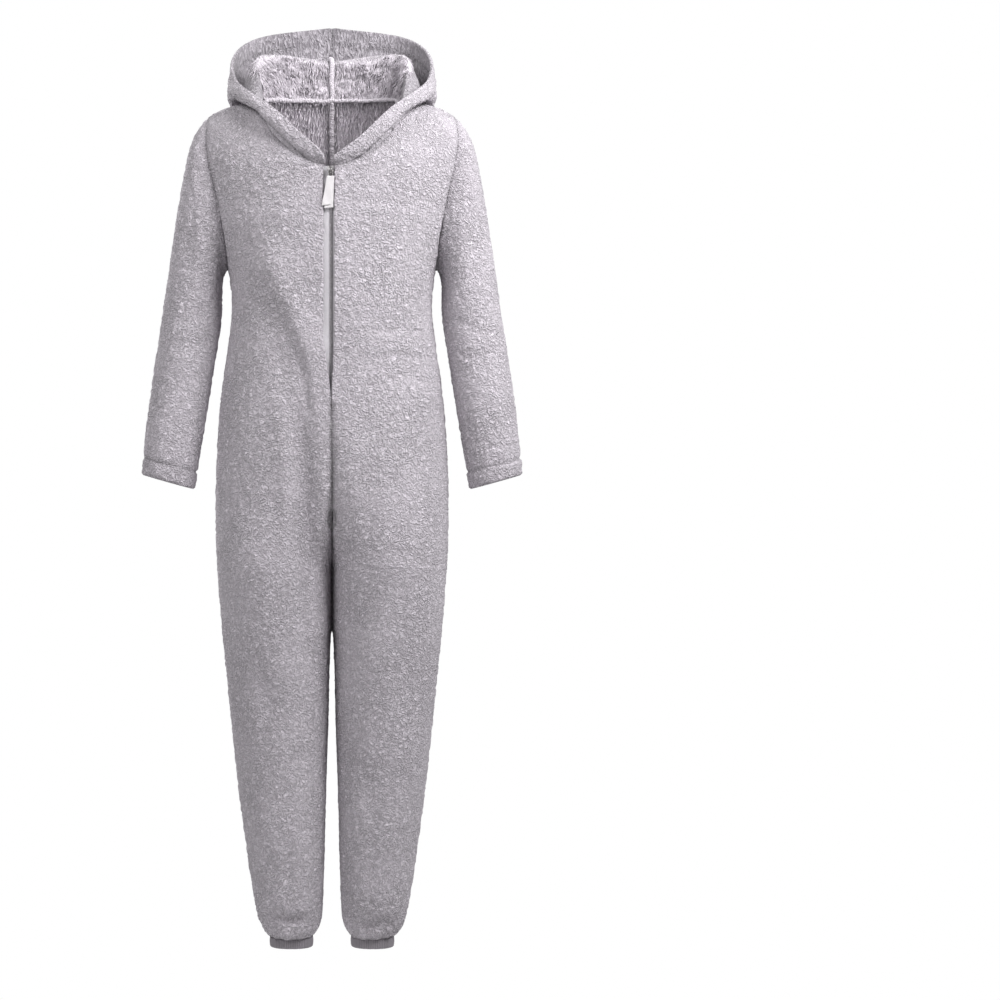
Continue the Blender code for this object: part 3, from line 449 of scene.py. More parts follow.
def refine_outside(mesh, cuts):
    """Cuts each edge of the outside sheet again, because only that sheet shows its curls."""
    bm = bmesh.new()
    bm.from_mesh(mesh)
    inside_flag = bm.verts.layers.float["inside"]
    outer = [face for face in bm.faces
             if all(vertex[inside_flag] < ON_OUTSIDE for vertex in face.verts)]
    edges = list({edge for face in outer for edge in face.edges})
    bmesh.ops.subdivide_edges(bm, edges=edges, cuts=cuts, use_grid_fill=True)
    rim_flag = bm.verts.layers.float["rim"]
    soft = [vertex for vertex in bm.verts
            if vertex[inside_flag] < ON_OUTSIDE and vertex[rim_flag] < 0.5]
    for _ in range(3):
        bmesh.ops.smooth_vert(bm, verts=soft, factor=0.5, use_axis_x=True, use_axis_y=True,
                              use_axis_z=True)
    bm.to_mesh(mesh)
    bm.free()


def cloth_copy(name, probe, outward, levels, extra_cuts):
    """A fine quad copy of a cut piece, flagged for rim, seam and inside.

    The probe is a point on its outer face, which faces outward there.
    """
    bm = joined(STRETCHES[name])
    first, second = sheets_of(bm)
    if not is_outside(first, probe, outward):
        first, second = second, first
    rim_flag = bm.verts.layers.float.new("rim")
    seam_flag = bm.verts.layers.float.new("seam")
    inside_flag = bm.verts.layers.float.new("inside")
    crease = bm.edges.layers.float.new("crease_edge")
    for face in second:
        for vertex in face.verts:
            vertex[inside_flag] = 1.0
    for edge in bm.edges:
        if edge.calc_face_angle(0.0) <= SHARP_TURN:
            continue
        for vertex in edge.verts:
            vertex[rim_flag] = 1.0
            vertex[seam_flag] = float(on_seam(name, vertex.co))
        sewn = all(vertex[seam_flag] for vertex in edge.verts)
        edge[crease] = SEAM_CREASE if sewn else FREE_CREASE
    piece = from_bmesh(name + "_cloth", bm)
    smooth = piece.modifiers.new("smooth", "SUBSURF")
    smooth.levels = levels
    smooth.render_levels = levels
    bake_modifiers(piece)
    if extra_cuts:
        refine_outside(piece.data, extra_cuts)
    return piece


print("flags on the points: rim, seam, inside")

# %% [markdown]
# ## Points as arrays
# A panel has fifty thousand points, and a loop over them in Python is slow. Blender hands a whole
# column of numbers to numpy at once, the sums are done there, and the points are written back. A
# sheet's normals are reckoned from its own faces alone, because at the rim the usual normal leans
# over the edge.

# %% Read and write points
ON_RIM = 0.999


def column(items, field, width=1, kind=np.float32):
    """One field of every item of a mesh, as an array, in rows if it holds several numbers."""
    flat = np.zeros(len(items) * width, kind)
    items.foreach_get(field, flat)
    return flat.reshape(-1, width).astype(float) if width > 1 else flat


def read(mesh, name):
    """A named number of each point."""
    return column(mesh.attributes[name].data, "value")


def store(mesh, name, values):
    """Writes a number on each point under a name."""
    if name not in mesh.attributes:
        mesh.attributes.new(name, "FLOAT", "POINT")
    mesh.attributes[name].data.foreach_set("value", np.asarray(values, np.float32))


def points_of(mesh):
    """The points of a mesh."""
    return column(mesh.vertices, "co", 3)


def move_points(mesh, points):
    """Writes the points back."""
    mesh.vertices.foreach_set("co", points.astype(np.float32).ravel())
    mesh.update()


def distance_to(points, marks):
    """The distance from each point to the nearest mark."""
    tree = point_tree(marks)
    return np.array([tree.find(point)[2] for point in points])


print("points of the first solid:", len(points_of(nodes["front_right"].data)))

# %% Each sheet's own normals
def sheet_normals(mesh, inside):
    """Each point's normal from its own sheet alone, without the rim's faces."""
    corners = column(mesh.loops, "vertex_index", kind=np.int32)
    totals = column(mesh.polygons, "loop_total", kind=np.int32)
    face_normals = column(mesh.polygons, "normal", 3)
    owner = np.repeat(np.arange(len(totals)), totals)
    flags = np.bincount(owner, inside[corners]) / totals
    weight = ((flags < ON_OUTSIDE) | (flags > ON_INSIDE)).astype(float)
    weighted = (face_normals * weight[:, None])[owner]
    sums = [np.bincount(corners, weighted[:, axis], len(inside)) for axis in range(3)]
    normals = np.stack(sums, axis=1)
    length = np.linalg.norm(normals, axis=1)
    lost = length < 1e-6
    normals[lost] = column(mesh.vertex_normals, "vector", 3)[lost]
    length[lost] = 1.0
    return normals / length[:, None]


def ease(share):
    """A smooth step from 0 to 1."""
    share = np.clip(share, 0.0, 1.0)
    return share * share * (3.0 - 2.0 * share)


print("ease(0.25) =", round(float(ease(0.25)), 3))

# %% [markdown]
# ## Creases
# Creases come from how the garment hangs. Each is a bent line on the front or the back, given in x
# and z, with a width, and a rise that is positive for a ridge and negative for a trough. It fades
# to its ends. They differ in length, depth and spacing, and the same crease moves both faces of the
# cloth. A cloth simulation could find some of them, but not the very ones that are wanted here.

# %% The rise of creases
def along_line(points, line):
    """The distance of each point from a bent line, and its share of the way along it."""
    best = np.full(len(points), 1e9)
    share = np.zeros(len(points))
    lengths = [math.dist(a, b) for a, b in zip(line, line[1:])]
    done = 0.0
    for a, b, length in zip(line, line[1:], lengths):
        a, b = np.array(a), np.array(b)
        t = np.clip((points - a) @ (b - a) / length ** 2, 0.0, 1.0)
        apart = np.linalg.norm(points - a - t[:, None] * (b - a), axis=1)
        closer = apart < best
        best[closer] = apart[closer]
        share[closer] = (done + t[closer] * length) / sum(lengths)
        done += length
    return best, share


def crease_rise(points, creases):
    """How far each point of a panel is moved out by a table of creases in x and z."""
    flat = points[:, [0, 2]]
    rise = np.zeros(len(points))
    for line, width, height in creases:
        apart, share = along_line(flat, line)
        taper = np.sin(np.pi * np.clip(share, 0.0, 1.0)) ** 0.7
        rise += height * taper * np.exp(-(apart / width) ** 2)
    return rise


trial = ((((0.0, 0.0), (0.0, -0.1)), 0.010, 0.001),)
rises = crease_rise(np.array([(0.0, 0.0, -0.05), (0.01, 0.0, -0.05), (0.0, 0.0, -0.1)]), trial)
print("a 1 mm ridge, on its middle, beside it and at its end:", rises.round(5))

# %% [markdown]
# ## Partners along a seam
# Where two pieces are sewn, each fine rim point has a partner on the other piece. Both should end up
# in the middle between them. They also need one direction to sink in, or a crack would open between
# them: the mean of the two pieces' normals there.

# %% Matching the rims
SEAM_MEETING = 0.0040           # two rim points this close are sewn to each other


def rim_marks(piece):
    """The sewn rim points of each sheet of a piece, with their sheet normals facing out."""
    mesh = piece.data
    points = points_of(mesh)
    inside = read(mesh, "inside")
    out = sheet_normals(mesh, inside)
    sewn = (read(mesh, "rim") > ON_RIM) & (read(mesh, "seam") > 0.5)
    outer, inner = sewn & (inside < ON_OUTSIDE), sewn & (inside > ON_INSIDE)
    return {"outside": (points[outer], out[outer]), "inside": (points[inner], -out[inner])}


def matched_marks(pieces):
    """For each piece and sheet: its marks, the seam's mean normal, and half the way to the partner."""
    own = {name: rim_marks(piece) for name, piece in pieces.items()}
    matched = {}
    for sheet in ("outside", "inside"):
        points = np.concatenate([own[name][sheet][0] for name in pieces])
        facing = np.concatenate([own[name][sheet][1] for name in pieces])
        owner = np.concatenate([np.full(len(own[name][sheet][0]), i) for i, name in enumerate(pieces)])
        tree = point_tree(points)
        mean = facing.copy()
        meet = np.zeros_like(points)
        for i, point in enumerate(points):
            found = [(distance, k) for _, k, distance in tree.find_range(point, SEAM_MEETING)
                     if owner[k] != owner[i]]
            if found:
                partner = min(found)[1]
                mean[i] = facing[i] + facing[partner]
                meet[i] = (points[partner] - point) / 2
        mean /= np.linalg.norm(mean, axis=1)[:, None]
        for i, name in enumerate(pieces):
            rows = owner == i
            matched[name, sheet] = (points[rows], mean[rows], meet[rows])
    return matched


print("rim points within", 1000 * SEAM_MEETING, "mm are partners")

# %% [markdown]
# ## Seams and hems
# The thread pulls the cloth in and the pile closes over it as a soft valley, so every point near a
# seam sinks by an amount that fades over several millimetres. A free edge is turned under and
# stitched, so the cloth is a little thicker up to the stitch line, which lies a hem's width away.

# %% How deep a seam lies
SEAM_DEPTH = 0.0022
CLOSE_FROM_Z = -0.39            # the fronts begin to close over the zip here


def seam_depths(points):
    """How deep the seam lies at each mark; the special places differ from the common depth."""
    x, y, z = points.T
    depth = np.full(len(points), SEAM_DEPTH)
    centre = np.abs(x) < 0.02
    depth[centre & (y < -0.03) & (z < -0.52)] = 0.0050          # centre front, under the zip
    depth[(np.abs(x) < 0.05) & (z < -0.79)] = 0.0005            # inner legs, pressed together
    depth[centre & (y > 0) & (z < -0.02)] = 0.0032              # centre back
    depth[z < -1.40] = 0.0012                                   # at the ankle bands
    return depth


def under_zip(points):
    """Which points lie at the centre front from the zip's middle down to the crotch."""
    x, y, z = points.T
    return (np.abs(x) < 0.02) & (y < -0.03) & (z < CLOSE_FROM_Z) & (z > -0.80)


print("seams lie", 1000 * SEAM_DEPTH, "mm deep in most places")

# %% Shape a fine piece of cloth
SEAM_WIDTH = 0.0060
SEAM_CLOSING = 0.0040           # the length in which sewn edges are pulled together
HEM_WIDTH = 0.026
HEM_RISE = 0.0009
STITCH_DEPTH = 0.0026
STITCH_WIDTH = 0.0026
# Painted shade in the seams: its width, its width along a stitched hem, and how dark it is.
SEAM_SHADE_WIDTH = 0.0032           # the darkened valley of a seam
STITCH_SHADE_WIDTH = 0.0024     # and of a stitched hem
SEAM_SHADE = 0.5                # how dark a seam's valley is, next to the groove under the zip
BARE_WIDTH = 0.0030             # the pile is thin this near an edge
INSIDE_PILE = 0.35              # the inner sheet's share of the outer sheet's relief


def shape_cloth(piece, marks, creases=(), hem=True, share=None):
    """Sinks the seams, raises the hem and pushes the creases into a fine cloth piece.

    The share, if given, says for each point how much of the creases it takes.
    """
    mesh = piece.data
    points = points_of(mesh)
    rim, seam, inside = (read(mesh, name) for name in ("rim", "seam", "inside"))
    out = sheet_normals(mesh, inside)
    within = inside > 0.5
    out[within] *= -1.0
    near = np.full(len(points), 1.0)            # the distance to a seam, a metre if there is none
    hem_near = np.full(len(points), 1.0)        # and to a free edge
    seam_move = np.zeros_like(points)
    for sheet, rows in (("inside", within), ("outside", ~within)):
        places, mean, meet = marks[sheet]
        free = (rim > ON_RIM) & (seam <= 0.5) & rows
        if len(places):
            tree = point_tree(places)
            found = [tree.find(point)[1:] for point in points[rows]]
            index = np.array([k for k, _ in found])
            near[rows] = np.array([distance for _, distance in found])
            apart = near[rows][:, None]
            dip = seam_depths(places)[index][:, None] * (-1.0 if sheet == "outside" else -0.4)
            seam_move[rows] = (mean[index] * dip * np.exp(-(apart / SEAM_WIDTH) ** 2)
                               + meet[index] * np.exp(-(apart / SEAM_CLOSING) ** 2))
        if free.any():
            hem_near[rows] = distance_to(points[rows], points[free])
    move = crease_rise(points, creases) if creases else np.zeros(len(points))
    if share is not None:
        move *= share(points)
    if hem:
        turned = HEM_RISE * (hem_near < HEM_WIDTH)
        stitch = STITCH_DEPTH * np.exp(-((hem_near - HEM_WIDTH) / STITCH_WIDTH) ** 2)
        move += np.where(within, -turned + stitch, turned - stitch)
    points += out * move[:, None] + seam_move
    move_points(mesh, points)
    # Painted shade: darkest in the groove under the zip, lighter in other seams' valleys and along a
    # hem's stitch line.
    valley = np.exp(-(near / SEAM_SHADE_WIDTH) ** 2) * np.where(under_zip(points), 1.0, SEAM_SHADE)
    if hem:
        stitched = SEAM_SHADE * np.exp(-((hem_near - HEM_WIDTH) / STITCH_SHADE_WIDTH) ** 2)
        valley = np.maximum(valley, stitched)
    store(mesh, "valley", valley)
    fade = 1.0 - np.exp(-(np.minimum(near, hem_near) / BARE_WIDTH) ** 2)
    store(mesh, "free_pile", fade * (1.0 - (1.0 - INSIDE_PILE) * inside))


print("hems are turned up by", 1000 * HEM_WIDTH, "mm")

# %% [markdown]
# ## Relief with Geometry Nodes
# Clumps of curls stand out from the cloth by a millimetre or two, and that is what makes the soft,
# broken outline of fleece. The height recipe from above runs here on the mesh itself: Set Position
# moves each point along its normal. The tree's inputs are the spacing of the clumps and the height
# of the pile, and it has no chance in it besides the recipe's noise. A stored number thins the
# relief at the seams. The tree also gives the two sheets their materials. Its result is kept as a
# plain mesh.

# %% Starting, ending and running a Geometry Nodes tree
def new_tree(name, *sockets):
    """A tree that takes and gives geometry; returns it and its inputs by name."""
    tree = bpy.data.node_groups.new(name, "GeometryNodeTree")
    tree.interface.new_socket("Geometry", in_out="INPUT", socket_type="NodeSocketGeometry")
    for label, kind, value in sockets:
        socket = tree.interface.new_socket(label, in_out="INPUT", socket_type="NodeSocket" + kind)
        if value is not None:
            socket.default_value = value
    tree.interface.new_socket("Geometry", in_out="OUTPUT", socket_type="NodeSocketGeometry")
    return tree, tree.nodes.new("NodeGroupInput").outputs


def end_tree(tree, geometry, *materials):
    """Realises instances, shades smooth and sets materials, each on a selection or on everything."""
    plain = add(tree, "GeometryNodeRealizeInstances", {"Geometry": geometry})
    last = add(tree, "GeometryNodeSetShadeSmooth", {"Geometry": plain.outputs[0]}).outputs[0]
    for material, selection in materials:
        given = {"Geometry": last, "Material": material}
        if selection is not None:
            given["Selection"] = selection
        last = add(tree, "GeometryNodeSetMaterial", given).outputs[0]
    tree.links.new(last, tree.nodes.new("NodeGroupOutput").inputs["Geometry"])


def attribute(tree, name):
    """A number that the mesh carries on its points."""
    return add(tree, "GeometryNodeInputNamedAttribute", {"Name": name}, data_type="FLOAT").outputs[0]


def run_tree(piece, tree, **values):
    """Runs a Geometry Nodes tree on a piece with named inputs, then keeps the plain mesh."""
    modifier = piece.modifiers.new(tree.name, "NODES")
    modifier.node_group = tree
    for item in tree.interface.items_tree:
        key = item.name.replace(" ", "_").lower()
        if item.item_type == "SOCKET" and item.in_out == "INPUT" and key in values:
            modifier[item.identifier] = values[key]
    bake_modifiers(piece)
    return piece


print("tree helpers: new_tree, end_tree, attribute, run_tree")

# %% The relief tree
relief, given = new_tree("curled_relief", ("Clump Spacing", "Float", 0.0080),
                         ("Pile Height", "Float", 0.0020),
                         ("Outside", "Material", None), ("Inside", "Material", None))
height = curls(relief, add(relief, "GeometryNodeInputPosition").outputs[0], given["Clump Spacing"])
lift = calc(relief, "MULTIPLY", calc(relief, "SUBTRACT", height, MEAN_HEIGHT), given["Pile Height"])
lift = calc(relief, "MULTIPLY", lift, attribute(relief, "free_pile"))
offset = scaled(relief, add(relief, "GeometryNodeInputNormal").outputs[0], lift)
raised = add(relief, "GeometryNodeSetPosition", {"Geometry": given["Geometry"], "Offset": offset})
on_inside = add(relief, "FunctionNodeCompare", {0: attribute(relief, "inside"), 1: 0.5},
                operation="GREATER_THAN").outputs[0]
end_tree(relief, raised.outputs[0], (given["Outside"], None), (given["Inside"], on_inside))
print("relief tree:", len(relief.nodes), "nodes")

# %% [markdown]
# ## The cut pieces of the body
# Each front and back runs from the shoulder to the ankle in one piece. For each one, a known point on
# its outer face tells the outside sheet from the inside. The creases are given one by one: on the front
# a long diagonal pull from the wearer's right chest to the zip's end, a trough that goes on down from
# it, and small cross wrinkles at the waist; on the back, soft diagonals behind the knees and at the
# seat.

# %% Fronts and backs
RIGHT_FRONT_CREASES = (
    (((-0.112, -0.262), (-0.070, -0.372), (-0.044, -0.470)), 0.0200, 0.0030),
    (((-0.092, -0.352), (-0.052, -0.450), (-0.036, -0.560)), 0.0090, -0.0045),
    (((-0.066, -0.490), (-0.050, -0.590), (-0.044, -0.700), (-0.036, -0.830), (-0.030, -0.900)),
     0.0190, -0.0110),
    (((-0.092, -0.500), (-0.078, -0.610), (-0.070, -0.740), (-0.058, -0.860)), 0.0140, 0.0040),
    (((-0.135, -0.905), (-0.110, -1.010), (-0.118, -1.130)), 0.0140, -0.0030),
    (((-0.060, -1.180), (-0.078, -1.260), (-0.070, -1.340)), 0.0110, -0.0028),
    (((-0.118, -1.380), (-0.075, -1.393), (-0.034, -1.388)), 0.0110, -0.0080),
    (((-0.112, -1.414), (-0.075, -1.420), (-0.036, -1.414)), 0.0100, 0.0036),
)
LEFT_FRONT_CREASES = (
    (((0.066, -0.405), (0.120, -0.392), (0.160, -0.398)), 0.0060, -0.0022),
    (((0.055, -0.447), (0.110, -0.436), (0.168, -0.441)), 0.0070, -0.0026),
    (((0.078, -0.486), (0.130, -0.474), (0.170, -0.482)), 0.0060, -0.0020),
    (((0.050, -0.600), (0.064, -0.720), (0.052, -0.850)), 0.0150, -0.0030),
    (((0.140, -0.880), (0.120, -1.010), (0.126, -1.120)), 0.0140, -0.0028),
    (((0.055, -1.130), (0.072, -1.230), (0.062, -1.320)), 0.0120, -0.0030),
    (((0.034, -1.388), (0.062, -1.402), (0.112, -1.392)), 0.0100, -0.0060),
    (((0.034, -1.414), (0.052, -1.420), (0.086, -1.418)), 0.0100, 0.0034),
)
RIGHT_BACK_CREASES = (
    (((-0.030, -0.640), (-0.080, -0.740), (-0.150, -0.790)), 0.0150, -0.0035),
    (((-0.040, -0.930), (-0.090, -0.990), (-0.150, -1.010)), 0.0130, -0.0040),
    (((-0.140, -1.020), (-0.095, -1.080), (-0.045, -1.100)), 0.0120, -0.0034),
    (((-0.150, -0.330), (-0.110, -0.400), (-0.050, -0.430)), 0.0140, -0.0030),
    (((-0.105, -1.384), (-0.070, -1.396), (-0.042, -1.390)), 0.0090, -0.0030),
)
LEFT_BACK_CREASES = (
    (((0.028, -0.660), (0.085, -0.760), (0.145, -0.800)), 0.0150, -0.0032),
    (((0.045, -0.950), (0.090, -1.000), (0.145, -1.030)), 0.0130, -0.0038),
    (((0.140, -1.050), (0.095, -1.110), (0.050, -1.125)), 0.0120, -0.0034),
    (((0.155, -0.350), (0.100, -0.420), (0.045, -0.440)), 0.0140, -0.0028),
    (((0.042, -1.388), (0.072, -1.398), (0.108, -1.386)), 0.0090, -0.0030),
)
shells = {}
creases_of = {}
for face, y, outward in (("front", -0.126, -1.0), ("back", 0.105, 1.0)):
    for side, sign in SIGNS.items():
        name = f"{face}_{side}"
        shells[name] = cloth_copy(name, (sign * 0.09, y, -0.50), (0.0, outward, 0.0), 1, 4)
creases_of.update(front_right=RIGHT_FRONT_CREASES, front_left=LEFT_FRONT_CREASES,
                  back_right=RIGHT_BACK_CREASES, back_left=LEFT_BACK_CREASES)
print("panels:", {name: len(piece.data.vertices) for name, piece in shells.items()})

# %% [markdown]
# ## Sleeves
# A sleeve is one tube from the armhole to a turned and stitched hem. Creases run across the inner
# bend of the elbow, where the cloth is slack.

# %% Sleeves
def mirrored(creases):
    """The same creases on the other side, a little moved, since no two sides hang alike."""
    return tuple((tuple((-x, z - 0.018) for x, z in line), width * 1.1, height * 0.9)
                 for line, width, height in creases)


SLEEVE_CREASES = (
    (((-0.200, -0.345), (-0.235, -0.372), (-0.285, -0.380)), 0.0090, -0.0024),
    (((-0.205, -0.405), (-0.240, -0.420), (-0.282, -0.412)), 0.0075, -0.0022),
    (((-0.226, -0.160), (-0.244, -0.230), (-0.240, -0.300)), 0.0120, -0.0030),
    (((-0.250, -0.480), (-0.270, -0.540), (-0.266, -0.600)), 0.0100, -0.0020),
)
for side, sign in SIGNS.items():
    name = f"sleeve_{side}"
    shells[name] = cloth_copy(name, (sign * 0.325, -0.016, -0.60), (sign, 0.0, 0.0), 1, 4)
creases_of.update(sleeve_right=SLEEVE_CREASES, sleeve_left=mirrored(SLEEVE_CREASES))
print("sleeves:", [len(shells[f"sleeve_{side}"].data.vertices) for side in SIGNS], "points")

# %% [markdown]
# ## Hood and ears
# The hood is cut in two halves, folded back and lying on the shoulders. Both its faces show: the
# outside on the band around the face opening and on the bag behind the neck, and the inside in the
# hollow and on the roll over the neck seam. Behind the neck the band folds over the bag, with a long
# soft crease under it. Each ear is a small plump leaf sewn on just under that crease. Its free end
# stands off the bag, so a shadow lies behind it.

# %% Hood halves and ears
BACKWARD = (0.0, 1.0, 0.0)
for side, sign in SIGNS.items():
    for part, probe in (("hood", (sign * 0.03, 0.175, -0.045)), ("ear", (sign * 0.115, 0.19, -0.03))):
        name = f"{part}_{side}"
        shells[name] = cloth_copy(name, probe, BACKWARD, 3, 0)
HOOD_CREASES = (
    (((-0.172, 0.038), (-0.085, 0.032), (0.000, 0.018), (0.090, 0.028), (0.172, 0.036)), 0.0080, -0.0070),
    (((-0.172, 0.058), (-0.085, 0.054), (0.000, 0.042), (0.090, 0.050), (0.172, 0.056)), 0.0120, 0.0040),
    (((-0.072, 0.022), (-0.046, -0.006), (-0.034, -0.040)), 0.0080, -0.0040),
    (((0.068, 0.020), (0.058, -0.020), (0.040, -0.052)), 0.0080, -0.0034),
)
BAG_FROM_Y = 0.085              # the bag hangs behind this, and only it is creased
CENTRE_SEAM = 0.012             # the creases die out this near the hood's centre seam
EAR_BASE_Z = 0.012
EAR_LENGTH = 0.080
EAR_LIFT = 0.011                # how far the ear's end stands off the bag
EAR_SWELL = 0.006               # how far the middle of its outer face is padded out


def on_the_bag(points):
    """How much of the hood's creases each point takes."""
    middle = np.exp(-(points[:, 0] / CENTRE_SEAM) ** 2)
    return ease((points[:, 1] - BAG_FROM_Y) / 0.030) * (1.0 - middle)


def plump_ear(piece):
    """Lifts the free end of an ear off the bag and pads out its outer face."""
    mesh = piece.data
    points = points_of(mesh)
    inside, rim = read(mesh, "inside"), read(mesh, "rim")
    down = np.clip((EAR_BASE_Z - points[:, 2]) / EAR_LENGTH, 0.0, 1.0)
    from_rim = distance_to(points, points[rim > ON_RIM])
    padding = EAR_SWELL * (1.0 - np.exp(-(from_rim / 0.012) ** 2)) * (1.0 - inside)
    points[:, 1] += EAR_LIFT * ease(down) + padding
    move_points(mesh, points)


for side in SIGNS:
    plump_ear(shells[f"ear_{side}"])
    creases_of[f"hood_{side}"] = HOOD_CREASES
print("hood and ears:", {name: len(piece.data.vertices) for name, piece in shells.items()
                         if name.split("_")[0] in ("hood", "ear")})

# %% [markdown]
# ## Plain ankle bands
# The ankle bands are sewn to the legs, so they take part in the sewing too. Their fine copies are
# made here, and their ribs are raised later, since knit has no pile.

# %% Fine copies of the ankle bands
BAND_CENTRE_X = 0.0696
FRONTWARD = (0.0, -1.0, 0.0)
for side, sign in SIGNS.items():
    name = f"ankle_band_{side}"
    shells[name] = cloth_copy(name, (sign * BAND_CENTRE_X, -0.036, -1.436), FRONTWARD, 2, 2)
print("cut pieces with a fine copy:", len(shells))

# %% [markdown]
# ## The fronts over the zip
# Towards the zip's lower end the two fronts ease over it and meet, as a soft thick cloth does when
# nothing pulls the zip straight. So each middle edge bends towards the zip's line, and the part that
# meets is flagged as sewn. Higher up the soft edge wanders a little beside the coil.

# %% Close the fronts below the zip's middle
CLOSE_TO_Z = -0.52              # and here they have met
SLOT_LOW_Z, SLOT_HIGH_Z = -0.68, -0.10
SLOT_CENTRE_X = -0.0014         # the zip hangs a little off the middle
SLOT_CENTRED_Z = -0.62          # down to here, where it comes back to the middle
LAST_GAP = 0.0010
CLOSE_REACH = 0.016             # the edge takes this much of the cloth with it
EDGE_WAVE = 0.0009              # the soft cloth edge wanders beside the coil


def close_front(piece, sign):
    """Lets a front's middle edge ease over the lower zip, and marks the closed part as sewn."""
    mesh = piece.data
    points = points_of(mesh)
    rim, seam = read(mesh, "rim"), read(mesh, "seam")
    x, y, z = points.T
    edge = (rim > ON_RIM) & (np.abs(x) < 0.02) & (y < -0.05) & (z > SLOT_LOW_Z) & (z < SLOT_HIGH_Z)
    order = np.argsort(z[edge])
    edge_x = np.interp(z, z[edge][order], x[edge][order])
    centre = SLOT_CENTRE_X * ease((z - SLOT_CENTRED_Z) / 0.06)
    half = np.abs(edge_x - centre)
    closed = ease((CLOSE_FROM_Z - z) / (CLOSE_FROM_Z - CLOSE_TO_Z))
    target = centre + sign * (half * (1.0 - closed) + np.minimum(half, LAST_GAP / 2) * closed)
    weight = np.exp(-((x - edge_x) / CLOSE_REACH) ** 2) * (y < -0.02) * ease((z - SLOT_LOW_Z) / 0.04)
    wave = np.sin(z * 260.0 + sign) + 0.7 * np.sin(z * 610.0 + 1.3 * sign)
    uneven = EDGE_WAVE * wave * (1.0 - closed) * ease((-0.130 - z) / 0.03)
    points[:, 0] += (target - edge_x) * weight * (z < CLOSE_FROM_Z) + uneven * weight
    move_points(mesh, points)
    store(mesh, "seam", np.where(edge & (z < CLOSE_TO_Z), 1.0, seam))
    most = np.abs((target - edge_x) * weight).max()
    print(piece.name, "edge moved by up to", round(1000 * most, 1), "mm")


for side, sign in SIGNS.items():
    close_front(shells[f"front_{side}"], sign)

# %% [markdown]
# ## Legs that touch
# Two full fleece legs lie against each other below the crotch, and part only lower down. The solids
# leave a few millimetres between them, so the inner sides of the legs swell towards the middle until
# the pile meets, and the swelling dies out where the gap opens.

# %% Let the legs touch
LEG_Z = (-0.700, -0.800, -0.825, -0.880, -0.915, -0.980, -1.066)
SOLID_X = (0.0000, 0.0000, 0.0016, 0.0021, 0.0026, 0.0045, 0.0056)     # where the solid's side is
TOUCH_X = (0.0000, 0.0000, 0.0000, 0.0001, 0.0014, 0.0040, 0.0056)     # where the cloth's goes
SWELL_REACH = 0.022
PRESS_REACH = 0.016             # legs pressed together are flat this far from the middle
PRESS_FROM_Z, PRESS_TO_Z = -0.760, -0.935
PRESS = 0.80                    # the share of the roundness that the pressing takes away


def swell_leg(piece, sign):
    """Moves the inner side of a leg towards the middle plane."""
    points = points_of(piece.data)
    x, _, z = points.T
    solid, touch = (np.interp(-z, -np.array(LEG_Z), sides) for sides in (SOLID_X, TOUCH_X))
    weight = np.exp(-((np.abs(x) - solid) / SWELL_REACH) ** 2)
    points[:, 0] -= sign * (solid - touch) * weight
    pressed = ease((PRESS_FROM_Z - z) / 0.05) * ease((z - PRESS_TO_Z) / 0.06)
    points[:, 0] *= 1.0 - PRESS * pressed * np.exp(-(points[:, 0] / PRESS_REACH) ** 2)
    move_points(piece.data, points)


for face in ("front", "back"):
    for side, sign in SIGNS.items():
        swell_leg(shells[f"{face}_{side}"], sign)
print("legs swell to the middle down to z =", LEG_Z[3])

# %% [markdown]
# ## Sewing the pieces together
# Now that every piece has its fine rim, each rim point looks for its partner on the piece it is sewn
# to. Both move to the middle between them and sink along the mean of their normals, so the two
# edges meet without a gap however sharply the pieces turn. After that each piece gets its creases,
# its hem and its pile.

# %% Sew, crease and raise the pile
all_marks = matched_marks(shells)
fleece_shells = {name: piece for name, piece in shells.items() if "band" not in name}
for name, piece in fleece_shells.items():
    part = name.split("_")[0]
    marks = {sheet: all_marks[name, sheet] for sheet in ("outside", "inside")}
    shape_cloth(piece, marks, creases_of.get(name, ()), hem=part in ("sleeve", "hood"),
                share=on_the_bag if part == "hood" else None)
    face = ear_fleece if part == "ear" else fleece_outside
    # The back's inner sheet takes the paler copy, painted light; the other inner sheets take the darker
    # finish, painted shade.
    lining = inner_back_pile if part == "back" else fleece_inside
    run_tree(piece, relief, outside=face, inside=lining)
    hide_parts(*STRETCHES[name])
    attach(piece, "garment")
    print(f"{piece.name}: {len(piece.data.polygons)} faces")

# %% [markdown]
# ## Rolled seams inside
# Inside the garment the edges of the cloth are overlocked together and stand up along the seam as a
# soft, twisted, pale roll. It shows where one looks in at the neck: down the middle of the folded
# hood, along the neck and down the middle of the back. The seam's own points give the path, and
# Geometry Nodes lay short slanted loops of thread and pile along it, each over the next.

# %% Where the seams run
ROLL_WANDER = 0.0010            # a sewn roll never lies quite straight


def seam_line(name, sheet, low, high, along, stand):
    """Rim points of one sheet of a piece between two corners, in order along a direction."""
    mesh = shells[name].data
    points = points_of(mesh)
    inside = read(mesh, "inside")
    normals = sheet_normals(mesh, inside)
    on_sheet = inside > ON_INSIDE if sheet == "inside" else inside < ON_OUTSIDE
    within = np.all((points > low) & (points < high), axis=1)
    rows = np.flatnonzero((read(mesh, "rim") > ON_RIM) & on_sheet & within)
    rows = rows[np.argsort(points[rows] @ np.array(along))]
    lift = normals[rows]
    if np.ptp(points[rows, 0]) < 0.01:
        lift[:, 0] = 0.0
    line = points[rows] + lift * stand
    wave = np.sin(line @ (90.0, 95.0, 90.0)) + 0.7 * np.sin(line @ (210.0, 190.0, 230.0))
    wander = ROLL_WANDER * wave
    line[:, 0] += wander
    line[:, 2] += 0.5 * wander
    apart = np.linalg.norm(np.diff(line, axis=0), axis=1)
    line = line[np.concatenate([[True], apart > 0.0006])]
    for _ in range(3):
        line[1:-1] = (line[:-2] + 2.0 * line[1:-1] + line[2:]) / 4.0
    print(name, "seam line of", len(line), "points")
    return line


